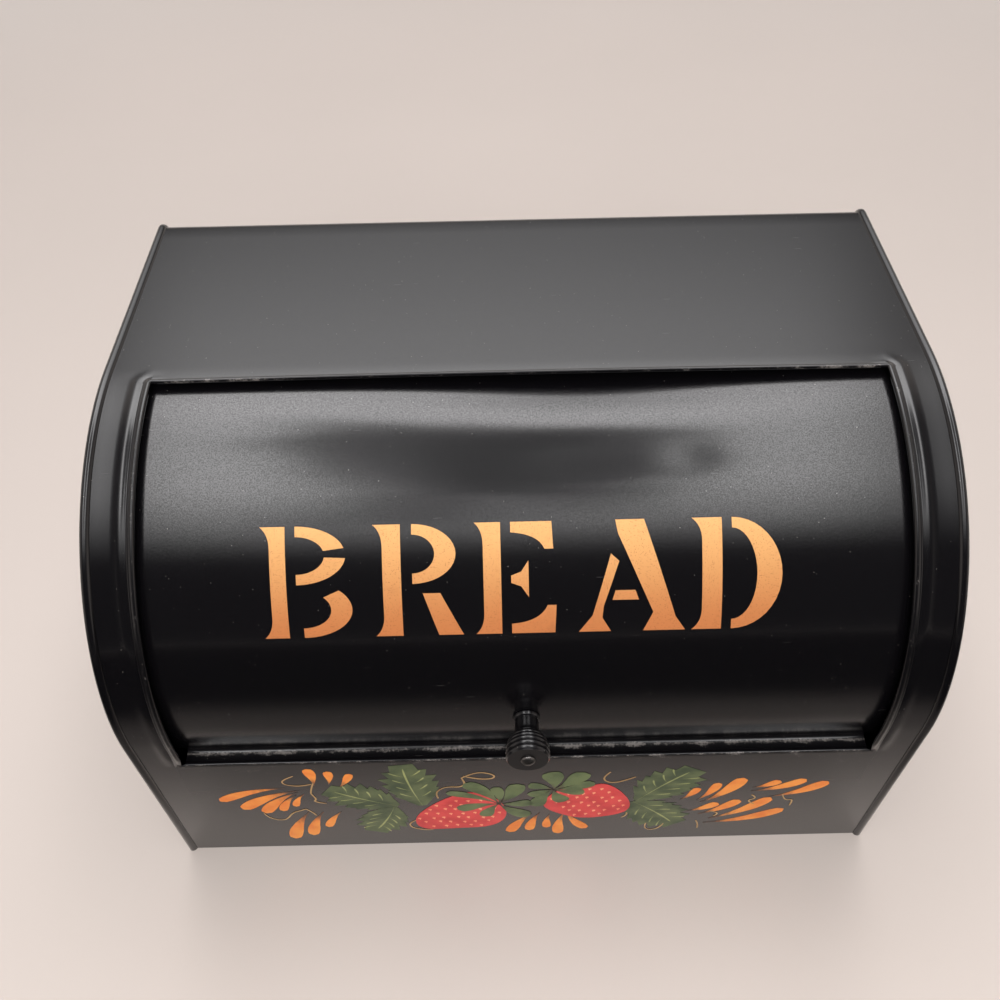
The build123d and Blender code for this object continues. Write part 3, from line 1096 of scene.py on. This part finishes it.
def stroke_tree():
    """Geometry nodes that turn drawn lines into flat brush strokes with a shaped width."""
    tree = bpy.data.node_groups.new("brush_stroke", "GeometryNodeTree")
    for name, kind in (
        ("Geometry", "Geometry"),
        ("Tail Width", "Float"),
        ("Steps", "Int"),
        ("Material", "Material"),
    ):
        tree.interface.new_socket(name, in_out="INPUT", socket_type="NodeSocket" + kind)
    tree.interface.new_socket("Geometry", in_out="OUTPUT", socket_type="NodeSocketGeometry")
    given = tree.nodes.new("NodeGroupInput").outputs
    end = tree.nodes.new("NodeGroupOutput")
    resample = "GeometryNodeResampleCurve"
    line = new_node(tree, resample, Curve=given["Geometry"], Count=given["Steps"])
    along = tree.nodes.new("GeometryNodeSplineParameter").outputs["Factor"]
    line, kept_along = kept_value(tree, "Along", line.outputs["Curve"], along)
    shape = new_node(tree, "ShaderNodeFloatCurve", Value=along)
    curve = shape.mapping.curves[0]
    curve.points[0].location = (0, 0)
    curve.points[1].location = (1, 0)
    for place, width in brush_shape:
        curve.points.new(place, width)
    shape.mapping.update()
    body = larger(tree, shape.outputs["Value"], given["Tail Width"])
    radius = tree.nodes.new("GeometryNodeInputRadius").outputs["Radius"]
    upright = new_node(tree, "GeometryNodeSetCurveNormal", {"mode": "Z_UP"}, Curve=line)
    profile = new_node(tree, "GeometryNodeCurvePrimitiveLine", Start=(-0.5, 0, 0), End=(0.5, 0, 0))
    finer = new_node(tree, resample, Curve=profile.outputs["Curve"], Count=5)
    across = tree.nodes.new("GeometryNodeSplineParameter").outputs["Factor"]
    section, kept_across = kept_value(tree, "Across", finer.outputs["Curve"], across)
    swept = new_node(
        tree,
        "GeometryNodeCurveToMesh",
        Curve=upright.outputs["Curve"],
        Profile_Curve=section,
        Scale=times(tree, body, radius),
    )
    store = new_node(
        tree,
        "GeometryNodeStoreNamedAttribute",
        {"data_type": "FLOAT2", "domain": "CORNER"},
        Name="UVMap",
        Geometry=swept.outputs["Mesh"],
        Value=new_node(tree, "ShaderNodeCombineXYZ", X=kept_along, Y=kept_across).outputs["Vector"],
    )
    real = new_node(tree, "GeometryNodeRealizeInstances", Geometry=store.outputs["Geometry"])
    paint = new_node(
        tree,
        "GeometryNodeSetMaterial",
        Geometry=real.outputs["Geometry"],
        Material=given["Material"],
    )
    set_node(tree, end, Geometry=paint.outputs["Geometry"])
    return tree


def set_inputs(modifier, tree, **values):
    """Sets a modifier's named inputs by their sockets' identifiers."""
    for item in tree.interface.items_tree:
        key = item.name.replace(" ", "_")
        if item.in_out == "INPUT" and key in values:
            modifier[item.identifier] = values[key]


def stroke_object(name, lines):
    """Curve object with one smooth line per stroke, from its points and its width."""
    curve = bpy.data.curves.new(name, "CURVE")
    curve.dimensions = "3D"
    for points, width in lines:
        spline = curve.splines.new("NURBS")
        spline.points.add(len(points) - 1)
        for place, (x, y) in zip(spline.points, points):
            place.co = (x, y, 0, 1)
            place.radius = width
        spline.order_u = 3
        spline.use_endpoint_u = True
    return linked(name, curve)


def painted_strokes(name, lines, tree, material, lift, tail=0.12, steps=22):
    """Brush strokes laid on the lower front."""
    drawn = stroke_object(name, lines)
    sweep = drawn.modifiers.new("brush", "NODES")
    sweep.node_group = tree
    set_inputs(sweep, tree, Tail_Width=tail, Steps=steps, Material=material)
    made = plain_piece(drawn)
    for vertex in made.data.vertices:
        vertex.co = front_point(vertex.co.x * mm, vertex.co.y * mm, lift)
    for face in made.data.polygons:
        face.use_smooth = True
        if face.normal.y > 0:
            face.flip()
    finished(made, "box", "black_enamel", material)


def comma(head, tail, width, bend=0.18):
    """One comma stroke: from its thin tail in a bend to its round head."""
    x = 0.5 * (head[0] + tail[0]) + bend * (head[1] - tail[1])
    y = 0.5 * (head[1] + tail[1]) + bend * (tail[0] - head[0])
    return ((tail, (x, y), head), width)


def orange_strokes():
    """The orange comma strokes, in fans and sprays."""
    fan = (
        ((-146, 58), (-113, 71), 6.2),
        ((-137, 48), (-107, 68), 7.4),
        ((-127, 43), (-108, 66), 6.6),
        ((-118, 45), (-109, 63), 4.6),
        ((-111, 50), (-105, 64), 3.6),
    )
    drops = (
        ((-100, 91), (-99, 73), 5.4),
        ((-91, 88), (-92, 74), 4.4),
        ((-81, 85), (-88, 70), 4.2),
        ((-118, 10), (-106, 43), 7),
        ((-108, 14), (-99, 43), 6.2),
        ((-99, 24), (-90, 43), 4.5),
    )
    middle = (
        ((-8, 12), (3, 35), 6.2),
        ((2, 14), (7, 36), 5.2),
        ((11, 17), (12, 34), 4.4),
        ((17, 9), (19, 35), 5.8),
        ((31, 15), (20, 36), 5.6),
    )
    spray = (
        ((82, 61), (75, 48), 4.6),
        ((91, 66), (83, 47), 5.2),
        ((102, 71), (85, 44), 7.6),
        ((120, 67), (108, 60), 5.3),
        ((132, 68), (108, 56), 6.5),
        ((143, 65), (118, 49), 7.2),
        ((94, 43), (80, 34), 5.7),
        ((104, 46), (86, 30), 6.5),
        ((119, 48), (92, 24), 7.4),
        ((128, 34), (90, 19), 7.4),
    )
    lines = []
    for group, bend in ((fan, 0.16), (drops, 0.1), (middle, 0.1), (spray, 0.16)):
        lines += [comma(head, tail, width, bend) for head, tail, width in group]
    return lines


def leaf_frame(base, tip):
    """Length of a leaf, and the function that places a point from its lengths along and across it."""
    length = hypot(tip[0] - base[0], tip[1] - base[1])
    along = ((tip[0] - base[0]) / length, (tip[1] - base[1]) / length)

    def place(forward, out=0.0):
        x = base[0] + along[0] * forward - along[1] * out
        y = base[1] + along[1] * forward + along[0] * out
        return (x, y)

    return length, place


def leaf_outline(base, tip, half_width, teeth):
    """Outline of a leaf with a toothed edge, from its base round its tip."""
    length, place = leaf_frame(base, tip)
    outline = []
    for side, direction in ((1, 1), (-1, -1)):
        for step in range(2 * teeth + 1)[::direction]:
            t = step / (2 * teeth)
            full = half_width * sin(pi * min(1, t * 0.94 + 0.03)) ** 0.7
            tooth = 1.12 if step % 2 else 0.84
            out = full * tooth * (1 + 0.06 * sin(2.3 * step + half_width))
            forward = t * length + (0.5 * length / teeth if step % 2 else 0)
            x, y = place(min(forward, length), side * out)
            if not outline or hypot(x - outline[-1][0], y - outline[-1][1]) > 0.2:
                outline.append((x, y))
    return outline


# Leaves on the lower front, in millimetres: base, tip, half width and number of teeth
leaves = (
    ((-50, 48), (-57, 93), 12.5, 7),
    ((-62, 48), (-94, 68), 13.0, 7),
    ((-64, 47), (-76, 17), 12.0, 6),
    ((54, 48), (78, 82), 14.0, 7),
    ((52, 47), (76, 18), 14.0, 7),
)


def leaf_veins():
    """Pale middle rib and side veins of every leaf."""
    lines = []
    for base, tip, half_width, _ in leaves:
        length, place = leaf_frame(base, tip)
        lines.append(((base, place(0.5 * length, 2), place(length - 4)), 0.9))
        for step in range(1, 5):
            root = length * step / 6
            for reach in (0.6 * half_width, -0.6 * half_width):
                start = place(root + 3, 0.25 * reach)
                middle = place(root + 4.5, 0.625 * reach)
                lines.append(((start, middle, place(root + 8, reach)), 0.8))
    return lines


def closed_curve(corners):
    """Smooth closed outline through the middles of the sides of a few corners."""
    outline = []
    total = len(corners)
    for place in range(total):
        before = corners[place - 1]
        here = corners[place]
        after = corners[(place + 1) % total]
        start = (0.5 * (before[0] + here[0]), 0.5 * (before[1] + here[1]))
        end = (0.5 * (here[0] + after[0]), 0.5 * (here[1] + after[1]))
        outline += curve_through(start, here, end, 6)
    return outline


# Corners of the two berries, in millimetres on the lower front
left_berry = (
    ((-29, 63), (-44, 51), (-56, 33), (-53, 18), (-35, 19))
    + ((-17, 20), (-9, 31), (-10, 47), (-18, 60))
)
right_berry = (
    ((37, 70), (46, 59), (52, 44), (49, 33), (33, 28))
    + ((22, 30), (8, 42), (9, 53), (18, 66), (27, 64))
)


def inside(outline, x, y):
    """Whether a place lies inside an outline."""
    hit = False
    for place in range(len(outline)):
        x1, y1 = outline[place - 1]
        x2, y2 = outline[place]
        if (y1 > y) != (y2 > y) and x < x1 + (y - y1) * (x2 - x1) / (y2 - y1):
            hit = not hit
    return hit


def berry_seeds():
    """Small pale seeds in staggered rows on both berries."""
    lines = []
    for corners, lean in ((left_berry, -0.3), (right_berry, 0.25)):
        outline = closed_curve(corners)
        left = min(point[0] for point in outline)
        low = min(point[1] for point in outline)
        for row in range(9):
            for column in range(9):
                x = left + 3 + column * 6.1 + (row % 2) * 3.0 + 0.7 * sin(5.1 * row + 3.3 * column)
                y = low + 4 + row * 5.0 + 0.6 * sin(2.7 * row + 4.9 * column)
                near = [inside(outline, x + dx, y + dy) for dx, dy in ((2, 0), (-2, 0), (0, 2), (0, -2))]
                if all(near):
                    lines.append((((x, y - 1.2), (x + lean, y), (x + 2 * lean, y + 1.2)), 1.9))
    return lines


def calyx_strokes():
    """Broad green sepals on top of each berry."""
    left_root = (-13, 48)
    left_heads = (
        ((-38, 62), 6),
        ((-29, 72), 8.5),
        ((-15, 67), 6),
        ((-4, 70), 9),
        ((3, 49), 7),
        ((2, 33), 8.5),
        ((-33, 42), 8),
        ((-20, 33), 7),
    )
    right_root = (13, 63)
    right_heads = (
        ((11, 82), 10),
        ((27, 81), 9.5),
        ((32, 70), 7),
        ((1, 68), 6.5),
        ((2, 56), 6.5),
        ((5, 44), 8),
        ((19, 49), 8),
        ((28, 60), 7),
    )
    lines = []
    for root, heads in ((left_root, left_heads), (right_root, right_heads)):
        lines += [comma(head, root, width, 0.14) for head, width in heads]
    return lines


def tendrils():
    """Thin pale curls."""
    return [
        (((-107, 84), (-113, 80), (-113, 76), (-110, 74), (-105, 73), (-100, 75)), 1.0),
        (((-99, 76), (-102, 66), (-101, 62), (-100, 58), (-102, 55), (-96, 53)), 1.0),
        (((-128, 43), (-127, 38), (-122, 34), (-118, 35), (-114, 43), (-110, 45), (-107, 47)), 0.9),
        (((-107, 47), (-104, 43), (-103, 39)), 0.9),
        (((-42, 56), (-43, 61), (-41, 66), (-37, 69), (-31, 68), (-28, 72), (-30, 78)), 1.0),
        (((-30, 78), (-26, 82), (-20, 84), (-14, 80), (-16, 76), (-24, 77), (-29, 80)), 1.1),
        (((-52, 32), (-58, 28), (-58, 22), (-54, 19), (-48, 17), (-45, 20)), 1.1),
        (((39, 81), (36, 76), (37, 71), (41, 69), (46, 71), (51, 75)), 1.1),
        (((109, 52), (113, 48), (107, 45), (112, 41)), 0.9),
        (((124, 52), (126, 44), (131, 46), (130, 38)), 0.9),
        (((92, 33), (98, 31), (94, 27)), 0.9),
        (((86, 22), (88, 18), (88, 12)), 0.9),
        (((61, 20), (60, 12), (68, 11), (70, 19)), 0.9),
        (((50, 34), (51, 31), (48, 28)), 0.9),
    ]


def front_shape(name, outlines, material, lift):
    """Flat painted shapes on the lower front."""

    def onto_front(x, height):
        return front_point(x, height, lift)

    made = flat_paint(name, outlines, onto_front)
    finished(made, "box", "black_enamel", material)


def front_painting():
    """Berries, leaves, strokes and tendrils in brushed paint."""
    tree = stroke_tree()
    orange = brush_paint("orange_paint", (246, 154, 62), (230, 124, 46), 0.5)
    green = brush_paint("leaf_paint", (92, 104, 66), (58, 72, 48))
    dark_green = brush_paint("sepal_paint", (104, 118, 74), (74, 90, 57), 0.4)
    red = brush_paint("berry_paint", (222, 68, 66), (196, 50, 54))
    pale = brush_paint("seed_paint", (250, 172, 130), (236, 136, 104))
    vein = brush_paint("vein_paint", (166, 168, 108), (126, 136, 84))
    curl = brush_paint("tendril_paint", (196, 160, 108), (156, 122, 78))
    layer = paint_lift
    berries = [closed_curve(left_berry), closed_curve(right_berry)]
    front_shape("painted_leaves", [leaf_outline(*leaf) for leaf in leaves], green, layer)
    painted_strokes("painted_veins", leaf_veins(), tree, vein, 2.1 * layer)
    front_shape("painted_berries", berries, red, 1.7 * layer)
    painted_strokes("painted_sepals", calyx_strokes(), tree, dark_green, 2.9 * layer)
    painted_strokes("painted_seeds", berry_seeds(), tree, pale, 2.75 * layer, 0.2, 6)
    painted_strokes("painted_commas", orange_strokes(), tree, orange, 1.2 * layer)
    painted_strokes("painted_tendrils", tendrils(), tree, curl, 2.4 * layer, 0.75, 40)


def turned(name, profile, segments=72):
    """Lathe-turned shape about +Z from (radius, height) points, closed at its axis."""
    points = []
    for radius, height in profile:
        for step in range(segments):
            angle = 2 * pi * step / segments
            points.append((radius * cos(angle), radius * sin(angle), height))
    faces = []
    for ring in range(len(profile) - 1):
        for step in range(segments):
            after = (step + 1) % segments
            low = ring * segments
            high = low + segments
            faces.append((low + step, low + after, high + after, high + step))
    faces.append(tuple(range(segments))[::-1])
    faces.append(tuple((len(profile) - 1) * segments + step for step in range(segments)))
    return mesh_object(name, points, faces)


def on_knob_axis(made):
    """Moves a shape turned about +Z to the knob's place on the door."""
    y, z = polar(door_radius, knob_angle)
    tilt = Matrix.Rotation(pi / 2 - knob_angle, 4, "X")
    made.data.transform(Matrix.Translation((0, y, z)) @ tilt)
    return made


def knob_profile():
    """Collar, neck and ribbed bell of the knob as (radius, height)."""
    profile = [(5.4, 0), (5.9, 0.2), (5.9, 1.4), (5.6, 1.7), (5.2, 2.0)]
    profile += [(5.2, 4.5), (5.15, 6.5), (5.3, 7.6), (5.7, 8.2)]
    ribs = 5
    steps = 9
    bell_start = 8.6
    bell_length = 20.1 - bell_start
    full_at = 0.62 * bell_length
    neck_radius = 6.3
    bell_swell = 3.1
    groove_depth = 0.65
    for rib in range(ribs):
        for step in range(steps):
            t = step / steps
            along = (rib + t) * bell_length / ribs
            swell = bell_swell * sin(pi / 2 * min(1.0, along / full_at))
            groove = groove_depth * (1 - sin(pi * t) ** 0.6)
            profile.append((neck_radius + swell - groove, bell_start + along))
    profile += [(8.75, 20.15), (8.6, 20.4), (0.4, 20.4)]
    return [(radius * mm, height * mm) for radius, height in profile]


def knob_piece(material):
    """The turned knob."""
    made = on_knob_axis(turned("turned_knob", knob_profile()))
    made = settled(made, radians(50))
    finished(made, "door", "painted_wood", material, "door_knob")


def screw_piece(material):
    """Round screw head with its slot, on the knob's face."""
    radius = 3.1
    foot_radius = 0.96 * radius
    tip_radius = 0.02
    height = 1.9
    edge = 0.25
    slot_turn = radians(20)
    steps = 12
    slot_size = (8 * mm, 0.8 * mm, 2 * mm)
    profile = [(foot_radius, 0)]
    for step in range(steps + 1):
        angle = pi / 2 * step / steps
        profile.append((radius * cos(angle) + tip_radius, edge + (height - edge) * sin(angle)))
    made = turned("slotted_screw", [(r * mm, knob_length + z * mm) for r, z in profile], 48)
    slot = mesh_object("slot_cutter", [], [])
    cutter = bmesh.new()
    bmesh.ops.create_cube(cutter, size=1.0)
    place = Matrix.Translation((0, 0, knob_length + height * mm))
    turn = Matrix.Rotation(slot_turn, 4, "Z")
    size = Matrix.Diagonal((*slot_size, 1))
    bmesh.ops.transform(cutter, matrix=place @ turn @ size, verts=cutter.verts)
    put_back(cutter, slot.data)
    cut = made.modifiers.new("slot", "BOOLEAN")
    cut.operation = "DIFFERENCE"
    cut.solver = "EXACT"
    cut.object = slot
    made = settled(made)
    bpy.data.objects.remove(slot)
    on_knob_axis(made)
    finished(made, "door", "dark_steel", material, "knob_screw")


def photo_camera():
    """Camera at the photograph's place and angle."""
    data = bpy.data.cameras.new("photo_camera")
    data.sensor_width = 36
    data.lens = camera_lens
    data.clip_start = 0.01
    camera = linked("photo_camera", data)
    turn = Matrix.Rotation(-camera_yaw, 4, "Z")
    tilt = Matrix.Rotation(pi / 2 - camera_pitch, 4, "X")
    roll = Matrix.Rotation(-camera_roll, 4, "Z")
    camera.matrix_world = Matrix.Translation(camera_place) @ turn @ tilt @ roll
    bpy.context.scene.camera = camera


def front_fill():
    """Square lamp in front, neither seen nor mirrored."""
    data = bpy.data.lights.new("front_fill", "AREA")
    data.shape = "RECTANGLE"
    data.size = fill_size
    data.size_y = fill_size
    data.energy = fill_radiance * pi * fill_size * fill_size
    lamp = linked("front_fill", data)
    aim = Vector(fill_target) - Vector(fill_place)
    lamp.location = fill_place
    lamp.rotation_euler = aim.to_track_quat("-Z", "Y").to_euler()
    lamp.visible_camera = False
    lamp.visible_glossy = False


def surface(tree, shader_output):
    """Sends a shader to the material's surface."""
    tree.links.new(shader_output, tree.nodes["Material Output"].inputs["Surface"])


def arch_glow():
    """Light of the overhead arch: full above the box, fading softly at its ends, with a weaker patch."""
    material, tree, shader = new_material("arch_glow")
    tree.nodes.remove(shader)
    x, y, z = split_vector(tree, coordinates(tree))
    angle = math_node(tree, "ARCTAN2", minus(tree, z, pivot_z), times(tree, y, -1.0))
    outwards = times(tree, x, x)
    behind = minus(tree, minus(tree, pi, angle), times(tree, outwards, arch_side_fade))
    front_fade = ramp_between(tree, angle, *arch_front_fade)
    back_fade = ramp_between(tree, behind, *arch_back_fade)
    edges = times(tree, ramp_between(tree, outwards, *arch_edge_places), arch_edge_fall)
    wave = minus(tree, noise_value(tree, object_place(tree), 1.5, 3.0), 0.5)
    bent = plus(tree, angle, times(tree, wave, arch_patch_bend))
    moved = plus(tree, x, times(tree, wave, arch_patch_shift))
    spans = []
    for place, limits in ((moved, arch_patch_sides), (bent, arch_patch_angles)):
        fade_in = ramp_between(tree, place, *limits[:2])
        fade_out = ramp_between(tree, place, *limits[2:])
        spans.append(minus(tree, fade_in, fade_out))
    patch = times(tree, times(tree, *spans), arch_patch_depth)
    level = minus(tree, arch_radiance, times(tree, x, arch_side_slope))
    for weaker in (edges, patch):
        level = times(tree, level, minus(tree, 1.0, weaker))
    strength = times(tree, times(tree, front_fade, back_fade), level)
    glow = new_node(tree, "ShaderNodeEmission", Strength=strength, Color=(1, 0.985, 0.99, 1))
    surface(tree, glow.outputs["Emission"])
    return material


def light_arch():
    """Wide arch of soft light over the box, not seen by the camera."""
    points = []
    first = arch_front_fade[0]
    last = pi - arch_back_fade[0]
    for step in range(arch_steps + 1):
        angle = first + (last - first) * step / arch_steps
        y = -arch_radius * cos(angle)
        z = pivot_z + arch_radius * sin(angle)
        points += [(-arch_half, y, z), (arch_half, y, z)]
    arch = mesh_object("light_arch", points, grid_faces(arch_steps + 1, 2))
    arch.data.materials.append(arch_glow())
    arch.visible_camera = False


def flat_plate(name, half, front_y, back_y, height=0):
    """Flat rectangle that faces up."""
    points = [(-half, front_y, height), (half, front_y, height)]
    points += [(half, back_y, height), (-half, back_y, height)]
    return mesh_object(name, points, [(0, 1, 2, 3)])


def camera_side_card():
    """Dark card on the floor before the box, mirrored in the lower door but not seen itself."""
    card = flat_plate("camera_side_card", card_half, card_far_y, card_near_y, card_height)
    material, tree, shader = new_material("black_card")
    forward = times(tree, split_vector(tree, coordinates(tree))["Y"], -1.0)
    first, second = (
        times(tree, ramp_between(tree, forward, start, end), share) for start, end, share in card_steps
    )
    set_node(
        tree,
        shader,
        Base_Color=(0.01, 0.01, 0.01, 1),
        Roughness=0.9,
        Specular_IOR_Level=0.0,
        Alpha=plus(tree, first, second),
    )
    card.data.materials.append(material)
    card.visible_camera = False
    card.visible_diffuse = False
    card.visible_shadow = False


def seen_rays(tree, mirror_share=None):
    """1 for rays from the camera, and 1 or a share for mirrored rays and rays through glass."""
    path = tree.nodes.new("ShaderNodeLightPath").outputs
    mirrored = larger(tree, path["Is Glossy Ray"], path["Is Transmission Ray"])
    if mirror_share is not None:
        mirrored = times(tree, mirrored, mirror_share)
    return larger(tree, path["Is Camera Ray"], mirrored)


def pale_floor():
    """Pale floor that passes softly into the colour of the room behind it."""
    floor = flat_plate("studio_floor", floor_half, -floor_half, floor_half)
    material, tree, shader = new_material("pale_floor")
    cloud = noise_value(tree, object_place(tree), 3.0, 3.0)
    colour = mixed_colour(tree, cloud, srgb(191, 181, 174), srgb(198, 187, 180))
    set_node(tree, shader, Base_Color=colour, Roughness=0.8, Specular_IOR_Level=0.0)
    away = new_node(tree, "ShaderNodeVectorMath", {"operation": "LENGTH"})
    feed(tree, away.inputs[0], coordinates(tree))
    distant = ramp_between(tree, away.outputs["Value"], *floor_fade)
    backdrop = new_node(tree, "ShaderNodeEmission", Color=backdrop_colour)
    blend = new_node(tree, "ShaderNodeMixShader", Fac=times(tree, distant, seen_rays(tree)))
    tree.links.new(shader.outputs["BSDF"], blend.inputs[1])
    tree.links.new(backdrop.outputs["Emission"], blend.inputs[2])
    surface(tree, blend.outputs["Shader"])
    floor.data.materials.append(material)


def dim_room():
    """Dim room, pale where the camera sees it and in mirrored rays to the back and the sides."""
    world = bpy.data.worlds.new("dim_room")
    bpy.context.scene.world = world
    world.use_nodes = True
    tree = world.node_tree
    direction = split_vector(tree, coordinates(tree, "Generated"))
    behind = ramp_between(tree, direction["Y"], *room_behind)
    beside = ramp_between(tree, math_node(tree, "ABSOLUTE", direction["X"]), *room_beside)
    seen = seen_rays(tree, larger(tree, behind, beside))
    colour = mixed_colour(tree, seen, (0.05, 0.048, 0.05, 1), backdrop_colour)
    set_node(tree, tree.nodes["Background"], Color=colour, Strength=1.0)


def studio():
    """Pale floor, soft lamps and a dim room."""
    pale_floor()
    light_arch()
    camera_side_card()
    front_fill()
    dim_room()
    bpy.context.scene.view_settings.view_transform = "Standard"


def dress_solids(groups, enamel):
    """Gives the solids that stay their materials."""
    zinc = plated_steel("zinc_steel", groups, (176, 176, 178), 0.32)
    for name, node in frame["nodes"].items():
        is_zinc = name.endswith(("washer", "nut", "rivet"))
        node.data.materials.clear()
        node.data.materials.append(zinc if is_zinc else enamel)


def main():
    """The camera, the studio and every piece of the box."""
    photo_camera()
    studio()
    groups = {
        "enamel": enamel_surface_group(),
        "dust": dust_group(),
        "scratches": scratch_group(),
        "wear": worn_and_lit_edge_group(),
    }
    enamel = black_enamel("black_enamel", groups)
    dress_solids(groups, enamel)
    wrapper_skin(enamel)
    end_skin(1, enamel)
    end_skin(-1, enamel)
    door_skin(black_enamel("door_enamel", groups, 0.2, 0.03, 1.0, 0.52, 1.56))
    door_letters(gold_paint(groups))
    front_painting()
    knob_piece(black_enamel("knob_paint", groups, 0.3, 0.1))
    screw_piece(plated_steel("dark_steel", groups, (150, 146, 143), 0.34))


main()
